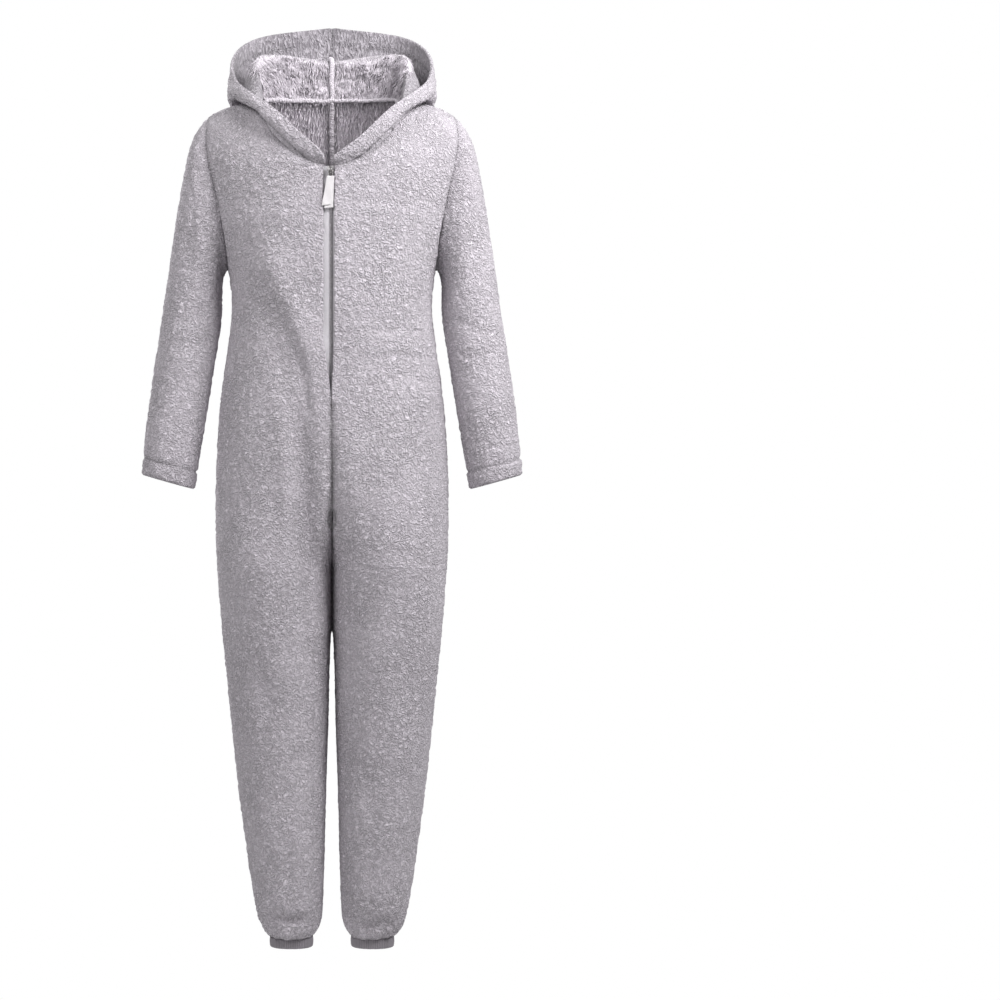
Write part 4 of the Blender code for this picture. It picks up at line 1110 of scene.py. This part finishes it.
def path_piece(name, lines):
    """An object that holds only paths: points and the edges between them."""
    corners, edges = [], []
    for line in lines:
        first = len(corners)
        corners += [tuple(point) for point in line]
        edges += [(first + i, first + i + 1) for i in range(len(line) - 1)]
    mesh = bpy.data.meshes.new(name)
    mesh.from_pydata(corners, edges, [])
    return in_scene(name, mesh)

# %% The rolled seam tree
def combine(tree, x, y, z):
    """A vector from three numbers."""
    return add(tree, "ShaderNodeCombineXYZ", {0: x, 1: y, 2: z}).outputs[0]


rolled_seam, given = new_tree("rolled_seam", ("Loop Spacing", "Float", 0.0042),
                              ("Loop Width", "Float", 0.0080), ("Loop Length", "Float", 0.0100),
                              ("Slant", "Float", 0.75), ("Material", "Material", None))
curve = add(rolled_seam, "GeometryNodeMeshToCurve", {"Mesh": given["Geometry"]}).outputs[0]
curve = add(rolled_seam, "GeometryNodeCurveSplineType", {"Curve": curve},
            spline_type="CATMULL_ROM").outputs[0]
stations = add(rolled_seam, "GeometryNodeCurveToPoints",
               {"Curve": curve, "Length": given["Loop Spacing"]}, mode="LENGTH").outputs
ball = add(rolled_seam, "GeometryNodeMeshUVSphere", {"Segments": 8, "Rings": 5, "Radius": 0.5})
size = combine(rolled_seam, given["Loop Width"], given["Loop Width"], given["Loop Length"])
turn = combine(rolled_seam, 0.0, given["Slant"], 0.0)
loop = add(rolled_seam, "GeometryNodeTransform",
           {"Geometry": ball.outputs["Mesh"], "Scale": size}).outputs[0]
loop = add(rolled_seam, "GeometryNodeTransform", {"Geometry": loop, "Rotation": turn}).outputs[0]
uneven = add(rolled_seam, "FunctionNodeRandomValue", {2: 0.80, 3: 1.15, "Seed": 4}, data_type="FLOAT")
loops = add(rolled_seam, "GeometryNodeInstanceOnPoints",
            {"Points": stations["Points"], "Instance": loop, "Rotation": stations["Rotation"],
             "Scale": uneven.outputs[1]}).outputs[0]
end_tree(rolled_seam, loops, (given["Material"], None))
print("rolled seam tree:", len(rolled_seam.nodes), "nodes")

# %% Rolled seams at the neck
ROLL_STAND = 0.0045             # how far the roll's middle stands off the cloth
hood_line = seam_line("hood_right", "inside", (-0.004, 0.055, 0.014), (0.004, 0.120, 0.110),
                      (0.0, -1.0, 0.0), ROLL_STAND)
neck_lines = [seam_line(f"hood_{side}", "inside", (low, -0.012, 0.000), (high, 0.0625, 0.0185),
                        (1.0, 0.0, 0.0), ROLL_STAND)
              for side, low, high in (("right", -0.121, 0.0005), ("left", -0.0005, 0.121))]
back_line = seam_line("back_right", "inside", (-0.004, 0.050, -0.300), (0.004, 0.120, 0.016),
                      (0.0, 0.0, -1.0), ROLL_STAND)
seam_cream = fleece_material("seam_cream", 0.0030, (0.50, 0.465, 0.505), (0.77, 0.72, 0.78), EVEN,
                             0.0009, 0.0012)
rolls = path_piece("neck_seam_rolls", [hood_line, *neck_lines, back_line])
run_tree(rolls, rolled_seam, material=seam_cream)
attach(rolls, "garment")
print("seam rolls:", len(rolls.data.polygons), "faces")

# %% [markdown]
# ## Long pile inside the hood
# The inner face of this fleece is brushed out: its strands are about a centimetre long and hang down
# the cloth, so the folded hood has a shaggy edge. Strands this long can't be a bump. Points are
# scattered over the sheet with a fixed seed, and on each one stands a thin tapered tuft that leans
# down the cloth and a little outwards. One tuft has a dozen faces, because there are thousands.

# %% The tuft tree
tufts, given = new_tree("brushed_tufts", ("Density", "Float", 150000.0), ("Tuft Length", "Float", 0.0100),
                        ("Tuft Width", "Float", 0.0024), ("Lean", "Float", 0.80),
                        ("Material", "Material", None))
scatter = add(tufts, "GeometryNodeDistributePointsOnFaces",
              {"Mesh": given["Geometry"], "Density": given["Density"], "Seed": 7})
cone = add(tufts, "GeometryNodeMeshCone",
           {"Vertices": 3, "Side Segments": 2, "Radius Top": 0.06, "Radius Bottom": 0.5, "Depth": 1.0},
           fill_type="NONE")
width, length = given["Tuft Width"], given["Tuft Length"]
size = combine(tufts, width, width, length)
tuft = add(tufts, "GeometryNodeTransform", {"Geometry": cone.outputs["Mesh"], "Scale": size}).outputs[0]
wander = noise(tufts, add(tufts, "GeometryNodeInputPosition").outputs[0], 55.0, output="Color")
wander = vector_calc(tufts, "SUBTRACT", wander, (0.5, 0.5, 0.5))
lean = vector_calc(tufts, "ADD", (0.0, 0.0, -1.0), scaled(tufts, wander, 1.7))
stand = scaled(tufts, scatter.outputs["Normal"], calc(tufts, "SUBTRACT", 1.35, given["Lean"]))
heading = vector_calc(tufts, "ADD", scaled(tufts, lean, given["Lean"]), stand)
facing = add(tufts, "FunctionNodeAlignRotationToVector", {"Vector": heading}, axis="Z").outputs[0]
uneven = add(tufts, "FunctionNodeRandomValue", {2: 0.60, 3: 1.20, "Seed": 11}, data_type="FLOAT")
grown = add(tufts, "GeometryNodeInstanceOnPoints",
            {"Points": scatter.outputs["Points"], "Instance": tuft, "Rotation": facing,
             "Scale": uneven.outputs[1]}).outputs[0]
end_tree(tufts, grown, (given["Material"], None))
print("tuft tree:", len(tufts.nodes), "nodes")

# %% Tufts on the folded hood and the inner back
def part_of_sheet(name, source, low, high):
    """A copy of the inner faces of a piece that lie between two corners."""
    bm = bmesh.new()
    bm.from_mesh(source.data)
    inside_flag = bm.verts.layers.float["inside"]
    low, high = Vector(low), Vector(high)
    far = [face for face in bm.faces
           if min(vertex[inside_flag] for vertex in face.verts) < ON_INSIDE
           or any(not low[k] < face.calc_center_median()[k] < high[k] for k in range(3))]
    bmesh.ops.delete(bm, geom=far, context="FACES")
    return from_bmesh(name, bm)


LONG_PILE = {                   # two corners of the coat, length of a tuft, tufts per square metre
    "hood_right": ((-0.135, -0.020, 0.012), (0.001, 0.118, 0.120), 0.0110, 200000.0),
    "hood_left": ((-0.001, -0.020, 0.012), (0.135, 0.118, 0.120), 0.0110, 200000.0),
    "back_right": ((-0.165, 0.000, -0.190), (0.001, 0.130, 0.016), 0.0085, 100000.0),
    "back_left": ((-0.001, 0.000, -0.190), (0.165, 0.130, 0.016), 0.0085, 100000.0),
}
for name, (low, high, tuft_length, density) in LONG_PILE.items():
    coat = part_of_sheet(f"{name}_tufts", shells[name], low, high)
    # The hood's tufts take the pale finish with some painted light; the inner back's take the paler copy,
    # painted light.
    strands = brushed_pile if "hood" in name else inner_back_pile
    run_tree(coat, tufts, density=density, tuft_length=tuft_length, material=strands)
    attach(coat, "garment")
    print(coat.name, len(coat.data.polygons), "faces")

# %% [markdown]
# ## Knitted ankle bands
# The leg is gathered onto a short, tight band of rib knit: upright ribs about 3 mm wide that stand
# side by side right round the ankle. Ribs repeat by a rule, so Geometry Nodes push them out of a
# fine tube. Each point knows its angle round the band, and the sine of that angle times half the
# number of ribs, taken without its sign, gives round ribs with narrow valleys.

# %% The rib tree
ribbing, given = new_tree("ribbing", ("Rib Count", "Float", 74.0), ("Rib Depth", "Float", 0.0009),
                          ("Material", "Material", None))
half_count = calc(ribbing, "MULTIPLY", given["Rib Count"], 0.5)
swing = calc(ribbing, "MULTIPLY", attribute(ribbing, "around"), half_count)
wave = calc(ribbing, "POWER", calc(ribbing, "ABSOLUTE", calc(ribbing, "SINE", swing)), 0.7)
rise = calc(ribbing, "MULTIPLY", calc(ribbing, "SUBTRACT", wave, 0.6), given["Rib Depth"])
push = scaled(ribbing, add(ribbing, "GeometryNodeInputNormal").outputs[0], rise)
ribbed = add(ribbing, "GeometryNodeSetPosition", {"Geometry": given["Geometry"], "Offset": push})
end_tree(ribbing, ribbed.outputs[0], (given["Material"], None))
print("rib tree:", len(ribbing.nodes), "nodes")

# %% [markdown]
# ## Rib knit
# The knit is a smooth dark grey yarn. Its ribs catch the light and the valleys between them stay
# dark, and across each rib run fine rows of stitches that bend with it. The ribs' height is already
# known on the points, so the shader reads it from there and paints that light and shade into the
# colour, pale on the ribs and dark in the valleys. It adds the rows and the yarn's own roughness as
# bump.

# %% Rib knit as a material
knitted_ribs, tree, shader = new_material("knitted_ribs", 0.9, Sheen_Weight=0.15, Specular_IOR_Level=0.2)
place = object_place(tree)
rib = add(tree, "ShaderNodeAttribute", attribute_name="rib").outputs["Fac"]
up_down = add(tree, "ShaderNodeSeparateXYZ", {0: place}).outputs["Z"]
rows = calc(tree, "SINE", calc(tree, "MULTIPLY_ADD", rib, 2.4, calc(tree, "MULTIPLY", up_down, 3900.0)))
yarn = noise(tree, place, 900.0, 2.0, 0.6)
knit = calc(tree, "MULTIPLY_ADD", rows, 0.22, calc(tree, "MULTIPLY", yarn, 0.6))
# Painted light and shade: pale on the ribs and dark in the valleys between them, with the rows of
# stitches on top.
painted_rib_light_and_knit = calc(tree, "ADD", calc(tree, "MULTIPLY", rib, 0.62), calc(tree, "MULTIPLY", knit, 0.5))
colour = blend(tree, painted_rib_light_and_knit, (0.120, 0.110, 0.122, 1.0), (0.330, 0.305, 0.335, 1.0))
dress_shader(tree, shader, colour, knit, 0.0006)
print("rib knit:", len(tree.nodes), "nodes")

# %% Ankle bands
RIB_COUNT = 74.0
for side, sign in SIGNS.items():
    piece = shells[f"ankle_band_{side}"]
    points = points_of(piece.data)
    around = np.arctan2(points[:, 1], points[:, 0] - sign * BAND_CENTRE_X)
    store(piece.data, "around", around)
    store(piece.data, "rib", np.abs(np.sin(around * RIB_COUNT / 2)) ** 0.7)
    run_tree(piece, ribbing, rib_count=RIB_COUNT, material=knitted_ribs)
    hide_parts(f"ankle_band_{side}")
    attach(piece, "garment")
    print(piece.name, len(piece.data.polygons), "faces")

# %% [markdown]
# ## The zip
# A nylon coil zip runs down the middle: two rows of small round loops that lock into each other, on
# two woven tapes. The coil lies a few millimetres deep, behind the thick cloth, so mostly its shadow
# shows. Its loops repeat along a line, so they are one small shape set along a path by Geometry
# Nodes, twice: the second row stands on the other side and half a step further on.

# %% The coil tree
coil, given = new_tree("zip_coil", ("Pitch", "Float", 0.0016), ("Loop Width", "Float", 0.0032),
                       ("Loop Depth", "Float", 0.0014), ("Row Distance", "Float", 0.0023),
                       ("Material", "Material", None))
curve = add(coil, "GeometryNodeMeshToCurve", {"Mesh": given["Geometry"]}).outputs[0]
stations = add(coil, "GeometryNodeCurveToPoints", {"Curve": curve, "Length": given["Pitch"]},
               mode="LENGTH").outputs["Points"]
ball = add(coil, "GeometryNodeMeshUVSphere", {"Segments": 8, "Rings": 4, "Radius": 0.5}).outputs["Mesh"]
loop_height = calc(coil, "MULTIPLY", given["Pitch"], 0.80)
size = combine(coil, given["Loop Width"], given["Loop Depth"], loop_height)
loop = add(coil, "GeometryNodeTransform", {"Geometry": ball, "Scale": size}).outputs[0]
rows = add(coil, "GeometryNodeJoinGeometry")
for share, step in ((-0.5, 0.0), (0.5, -0.5)):
    across = calc(coil, "MULTIPLY", given["Row Distance"], share)
    down = calc(coil, "MULTIPLY", given["Pitch"], step)
    shift = combine(coil, across, 0.0, down)
    moved = add(coil, "GeometryNodeTransform", {"Geometry": stations, "Translation": shift}).outputs[0]
    row = add(coil, "GeometryNodeInstanceOnPoints", {"Points": moved, "Instance": loop}).outputs[0]
    coil.links.new(row, rows.inputs[0])
end_tree(coil, rows.outputs[0], (given["Material"], None))
print("coil tree:", len(coil.nodes), "nodes")

# %% [markdown]
# ## Woven tape and webbing
# The tapes and the strap are both woven, one finely and one coarsely: threads that cross over and
# under. Two sine waves at right angles, multiplied, give that pattern, and fine noise frays it. Both
# finishes set the same effect's thread spacing and colours.

# %% Weave as an effect
weave, given = effect_group(
    "weave", ("Thread Spacing", "Float", 0.0008), ("Low Colour", "Color", (0.5, 0.5, 0.5, 1.0)),
    ("High Colour", "Color", (0.8, 0.8, 0.8, 1.0)))
place = object_place(weave)
across = add(weave, "ShaderNodeSeparateXYZ", {0: place}).outputs
turns = calc(weave, "DIVIDE", math.pi, given["Thread Spacing"])
warp, weft = (calc(weave, "SINE", calc(weave, "MULTIPLY", across[axis], turns)) for axis in ("X", "Z"))
cross = calc(weave, "MULTIPLY", warp, weft)
fuzz = noise(weave, place, 1400.0, 2.0, 0.6)
height = calc(weave, "MULTIPLY_ADD", cross, 0.35, calc(weave, "MULTIPLY_ADD", fuzz, 0.5, 0.25))
end_effect(weave, blend(weave, height, given["Low Colour"], given["High Colour"]), height)


def woven_material(name, spacing, low, high):
    """A woven band with its own thread spacing and colours."""
    material, tree, shader = new_material(name, 0.85, Sheen_Weight=0.1, Specular_IOR_Level=0.25)
    values = {"Thread Spacing": spacing, "Low Colour": (*low, 1.0), "High Colour": (*high, 1.0)}
    look = add(tree, "ShaderNodeGroup", values, node_tree=weave).outputs
    dress_shader(tree, shader, look["Colour"], look["Height"], 0.0003)
    return material


zip_tape_weave = woven_material("zip_tape_weave", 0.0007, (0.46, 0.44, 0.47), (0.80, 0.77, 0.81))
strap_weave = woven_material("strap_weave", 0.0010, (0.46, 0.44, 0.455), (0.80, 0.775, 0.79))
print("weave group:", len(weave.nodes), "nodes, used by", zip_tape_weave.name, "and", strap_weave.name)

# %% [markdown]
# ## Nylon and cast metal
# The coil is a slightly shiny nylon, mottled by how its loops are pressed. The slider and the link
# are dark plated metal, rubbed paler and smoother where fingers and cloth pass, with a faint grain
# from casting.

# %% Materials of the coil and the slider
coil_nylon, tree, shader = new_material("coil_nylon", 0.45)
mottle = ramp(tree, noise(tree, object_place(tree), 500.0, 2.0), 0.35, 0.65)
colour = blend(tree, mottle, (0.260, 0.245, 0.260, 1.0), (0.460, 0.440, 0.465, 1.0))
dress_shader(tree, shader, colour, mottle, 0.0001)

cast_metal, tree, shader = new_material("cast_metal", 0.35, Metallic=1.0)
place = object_place(tree)
rubbed = ramp(tree, noise(tree, place, 420.0, 3.0, 0.6), 0.40, 0.62)
colour = blend(tree, rubbed, (0.210, 0.200, 0.205, 1.0), (0.480, 0.465, 0.470, 1.0))
tree.links.new(ramp(tree, rubbed, 0.0, 1.0, 0.42, 0.26), shader.inputs["Roughness"])
dress_shader(tree, shader, colour, noise(tree, place, 2600.0), 0.00004)
print("hard materials:", coil_nylon.name, cast_metal.name)

# %% [markdown]
# ## Coil and tapes in place
# The chain's solid gives the path: at each height, the middle of its points. The tapes are so plain
# that their solids already have the right form, and only need a soft edge and the weave.

# %% Coil and tapes
def round_edges(piece, width):
    """Adds a small bevel of two steps on the sharp edges."""
    rounding = piece.modifiers.new("rounding", "BEVEL")
    rounding.width = width
    rounding.segments = 2
    rounding.limit_method = "ANGLE"


COIL_BEHIND = 0.0019            # the coil lies this far behind the chain solid's middle
at_height = {}
for x, y, z in node_points(("zip_chain",)):
    at_height.setdefault(round(float(z), 5), []).append((x, y + COIL_BEHIND))
coil_line = [(*np.mean(at_height[z], axis=0), z) for z in sorted(at_height, reverse=True)]
teeth = path_piece("zip_coil_loops", [coil_line])
run_tree(teeth, coil, material=coil_nylon)
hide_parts("zip_chain")
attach(teeth, "garment")
print("coil:", len(coil_line), "path points,", len(teeth.data.polygons), "faces")

for side, width in (("right", 0.0150), ("left", 0.0105)):     # the visible width of each tape
    bm = merged(f"zip_tape_{side}")
    bmesh.ops.dissolve_limit(bm, angle_limit=0.001, verts=bm.verts[:], edges=bm.edges[:])
    bmesh.ops.triangulate(bm, faces=bm.faces[:])
    tape = from_bmesh(f"zip_tape_{side}_woven", bm, zip_tape_weave)
    round_edges(tape, 0.0004)
    bake_modifiers(tape)
    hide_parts(f"zip_tape_{side}")
    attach(tape, "garment")
    print(tape.name, len(tape.data.polygons), "faces")

# %% [markdown]
# ## The slider
# The slider is a small casting: two plates with turned edges, joined by a wedge, and a bridge over
# the front plate. It is modelled as one mesh from a few outlines, each given as distances off the
# middle and shares of the height, with a bevel for the cast edges.

# %% Outlines of the slider
SLIDER_X = -0.0024
SLIDER_LOW, SLIDER_HIGH = -0.1394, -0.1240
SLIDER_FRONT = -0.1273          # the front plate's outer face
PLATE_HALF = ((0.0000, 1.00), (0.0034, 0.99), (0.0047, 0.90), (0.0050, 0.72), (0.0044, 0.45),
              (0.0037, 0.18), (0.0034, 0.04), (0.0028, 0.00), (0.0000, 0.00))
FLANGE = ((0.0047, 0.86), (0.0050, 0.72), (0.0044, 0.45), (0.0037, 0.18))
FLANGE_WIDTH = 0.0011
BRIDGE_HALF_WIDTH = 0.0017
BRIDGE_FACES = ((0.0050, 0.00360), (0.0033, 0.001872))    # outer and inner arch: half length, rise
BRIDGE_STEPS = 12


def on_slider(half, sign=1):
    """Points in x and z from distances off the middle and shares of the slider's height."""
    height = SLIDER_HIGH - SLIDER_LOW
    return [(SLIDER_X + sign * x, SLIDER_LOW + share * height) for x, share in half]


def add_plate(bm, outline, near, far):
    """Adds a plate with an outline in x and z, between two depths behind the slider's front."""
    rings = [[bm.verts.new((x, SLIDER_FRONT + depth, z)) for x, z in outline] for depth in (near, far)]
    bm.faces.new(rings[0])
    bm.faces.new(reversed(rings[1]))
    count = len(outline)
    for i in range(count):
        k = (i + 1) % count
        bm.faces.new((rings[0][k], rings[0][i], rings[1][i], rings[1][k]))


def smooth_piece(name, bm, material, bevel=None):
    """Makes a smooth-shaded object from a bmesh, with rounded edges if a bevel is given."""
    bmesh.ops.recalc_face_normals(bm, faces=bm.faces[:])
    piece = from_bmesh(name, bm, material)
    if bevel:
        round_edges(piece, bevel)
        bake_modifiers(piece)
    piece.data.shade_smooth()
    return piece


print("slider:", round(1000 * (SLIDER_HIGH - SLIDER_LOW), 1), "mm tall")

# %% Slider
bm = bmesh.new()
plate = on_slider(PLATE_HALF) + on_slider(reversed(PLATE_HALF[1:-1]), -1)
for near, far in ((0.0, 0.0015), (0.0066, 0.0080)):
    add_plate(bm, plate, near, far)
for sign in (-1, 1):
    edge = on_slider(FLANGE, sign)
    inner = [(x - sign * FLANGE_WIDTH, z) for x, z in reversed(edge)]
    for near, far in ((0.0008, 0.0030), (0.0050, 0.0072)):
        add_plate(bm, edge + inner, near, far)
wedge = [(SLIDER_X, SLIDER_HIGH - 0.0002), (SLIDER_X + 0.0013, SLIDER_HIGH - 0.0016),
         (SLIDER_X, SLIDER_HIGH - 0.0062), (SLIDER_X - 0.0013, SLIDER_HIGH - 0.0016)]
add_plate(bm, wedge, 0.0010, 0.0070)
bridge_z = (SLIDER_LOW + SLIDER_HIGH) / 2
for i in range(BRIDGE_STEPS):
    corners = []
    for turn in (math.pi * i / BRIDGE_STEPS, math.pi * (i + 1) / BRIDGE_STEPS):
        for half_length, rise in BRIDGE_FACES:
            y = SLIDER_FRONT + 0.0004 - rise * abs(math.sin(turn)) ** 0.6
            corners.append((y, bridge_z + half_length * math.cos(turn)))
    near, far = ([bm.verts.new((SLIDER_X + x, y, z)) for y, z in corners]
                 for x in (-BRIDGE_HALF_WIDTH, BRIDGE_HALF_WIDTH))
    bm.faces.new((near[0], near[1], near[3], near[2]))
    bm.faces.new((far[0], far[2], far[3], far[1]))
    bm.faces.new((near[0], near[2], far[2], far[0]))
    bm.faces.new((near[1], far[1], far[3], near[3]))
bmesh.ops.remove_doubles(bm, verts=bm.verts[:], dist=1e-6)
slider = smooth_piece("slider_casting", bm, cast_metal, 0.0004)
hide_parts("zip_slider")
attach(slider, "garment")
print("slider casting:", len(slider.data.polygons), "faces")

# %% [markdown]
# ## The link
# A closed loop of wire hangs in the slider's bridge and turns on it. A ring of points is swept along
# a rounded rectangle, so the wire stays round at the corners.

# %% Link
HINGE = Vector((-0.0024, -0.12816, -0.1317))
BACK = Vector(BACKWARD)
WIRE = 0.0006
LINK_HALF = 0.0036
LINK_DROP = 0.0110              # the link reaches this far below the hinge
LINK_CORNER = 0.0016


def wire_loop(name, centres, radius, material, sides=10):
    """A closed round wire along points that lie in one upright plane."""
    bm = bmesh.new()
    rings = []
    count = len(centres)
    for i in range(count):
        before, here, after = (Vector(centres[k % count]) for k in (i - 1, i, i + 1))
        along = (after - before).normalized()
        side = along.cross(BACK).normalized()
        turns = [2 * math.pi * k / sides for k in range(sides)]
        rings.append([bm.verts.new(here + radius * (side * math.cos(turn) + BACK * math.sin(turn)))
                      for turn in turns])
    for i in range(count):
        first, second = rings[i], rings[(i + 1) % count]
        for k in range(sides):
            m = (k + 1) % sides
            bm.faces.new((first[k], first[m], second[m], second[k]))
    return smooth_piece(name, bm, material)


right, top, bottom = LINK_HALF - LINK_CORNER, -LINK_CORNER, LINK_CORNER - LINK_DROP
loop_points = []
for x, z, start in ((right, top, 0.0), (-right, top, 0.5), (-right, bottom, 1.0), (right, bottom, 1.5)):
    for k in range(6):
        turn = math.pi * (start + 0.5 * k / 5)
        corner = Vector((x + LINK_CORNER * math.cos(turn), 0.0, z + LINK_CORNER * math.sin(turn)))
        loop_points.append(HINGE + corner)
link = wire_loop("wire_link", loop_points, WIRE, cast_metal)
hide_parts("pull_link")
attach(link, "pull")
print("link:", len(link.data.polygons), "faces")

# %% [markdown]
# ## The strap
# A strap of pale webbing is folded through the link and stitched to itself. Its two layers hang
# slightly apart and askew, as folded webbing does, so each has its own lean and length. Rows of
# points go up the back layer, over the fold and down the front one, and Solidify gives them the
# webbing's thickness.

# %% Strap
STRAP_THICK = 0.0009
FOLD_HALF_WIDTH = 0.0062
END_SPREAD = 0.0013             # the strap is this much wider at its ends, on each side
FOLD_RADIUS = 0.0011
BACK_LAYER = (1, math.radians(3.5), 0.0515)     # side, lean and length
FRONT_LAYER = (-1, math.radians(9.0), 0.0475)
ACROSS = [k / 4 - 1.0 for k in range(9)]
STEPS = 24


def strap_point(across, along, side, lean, reach):
    """A point of the folded strap; along goes from the free end up to the fold."""
    loose = 1.0 - along
    down = reach * loose
    width = FOLD_HALF_WIDTH + END_SPREAD * loose ** 1.5
    gap = FOLD_RADIUS * (1.0 - 0.45 * min(1.0, down / 0.008))
    x = across * width - down * math.sin(lean)
    z = -LINK_DROP - down * math.cos(lean) + across * width * math.sin(lean) * loose
    ripple = 0.0004 * math.sin(9.0 * along + 2.0 * across + side)
    return HINGE + Vector((x, side * gap + ripple * loose, z))


def fold_point(across, turn):
    """A point of the fold that goes through the link."""
    return HINGE + Vector((across * FOLD_HALF_WIDTH, FOLD_RADIUS * math.cos(turn),
                           -LINK_DROP + FOLD_RADIUS * math.sin(turn)))


steps = [i / STEPS for i in range(STEPS + 1)]
rows_of_strap = [[strap_point(across, step, *BACK_LAYER) for across in ACROSS] for step in steps]
rows_of_strap += [[fold_point(across, math.pi * i / 8) for across in ACROSS] for i in range(1, 8)]
rows_of_strap += [[strap_point(across, 1.0 - step, *FRONT_LAYER) for across in ACROSS] for step in steps]
bm = bmesh.new()
grid = [[bm.verts.new(point) for point in row] for row in rows_of_strap]
for first, second in zip(grid, grid[1:]):
    for k in range(len(ACROSS) - 1):
        bm.faces.new((first[k], first[k + 1], second[k + 1], second[k]))
strap = from_bmesh("pale_pull_strap", bm, strap_weave)
thick = strap.modifiers.new("thickness", "SOLIDIFY")
thick.thickness = STRAP_THICK
thick.offset = 0.0
round_edges(strap, 0.0003)
bake_modifiers(strap)
strap.data.shade_smooth()
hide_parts("pull_tab")
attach(strap, "pull")
print("strap:", len(strap.data.polygons), "faces")

# %% [markdown]
# ## Light and floor
# A studio picture of a pale garment has soft light from high on one side, so the pile shows its
# depth, and it fades towards the ankles. A large near lamp does that by itself, because light falls
# off with distance. A small lamp near the bright side catches the pile along the edges there, a weak
# one opens the shadow side, one behind the garment serves the back, and the white surroundings fill
# in the rest. The floor is a plain pale disc well below the hanging cloth.

# %% Light and floor
world = bpy.data.worlds.new("world")
world.use_nodes = True
surroundings = world.node_tree
AMBIENT = 0.280
seen = add(surroundings, "ShaderNodeLightPath").outputs["Is Camera Ray"]
strength = calc(surroundings, "MULTIPLY_ADD", seen, 1.0 - AMBIENT, AMBIENT)
white = surroundings.nodes["Background"]
white.inputs["Color"].default_value = (1.0, 1.0, 1.0, 1.0)
surroundings.links.new(strength, white.inputs["Strength"])
bpy.context.scene.world = world
bpy.context.scene.view_settings.view_transform = "Standard"


def softbox(name, place, aim, size, power):
    """A square area light that looks at a point, unseen itself."""
    data = bpy.data.lights.new(name, "AREA")
    data.size = size
    data.energy = power
    lamp = in_scene(name, data)
    lamp.location = place
    direction = Vector(aim) - Vector(place)
    lamp.rotation_euler = direction.to_track_quat("-Z", "Y").to_euler()
    lamp.visible_camera = False


softbox("key", (1.32, -1.18, 1.00), (0.0, 0.0, -0.10), 0.9, 59.0)
softbox("rim", (1.15, -0.35, 0.30), (0.10, 0.0, -0.25), 0.7, 7.0)
softbox("fill", (-1.35, -1.60, 0.80), (0.0, 0.0, -0.2), 1.3, 31.0)
softbox("back_light", (-1.1, 2.1, 0.7), (0.0, 0.0, -0.5), 1.4, 68.0)

floor_material = new_material("pale_floor", 0.9, Base_Color=(0.90, 0.90, 0.90, 1.0))[0]
FLOOR_Z = -2.1
FLOOR_RADIUS = 1.9
bm = bmesh.new()
bmesh.ops.create_circle(bm, cap_ends=True, segments=96, radius=FLOOR_RADIUS)
bmesh.ops.translate(bm, verts=bm.verts[:], vec=(0.0, 0.0, FLOOR_Z))
floor = from_bmesh("floor", bm, floor_material)
print("lamps: key, rim, fill, back_light; floor at", FLOOR_Z)
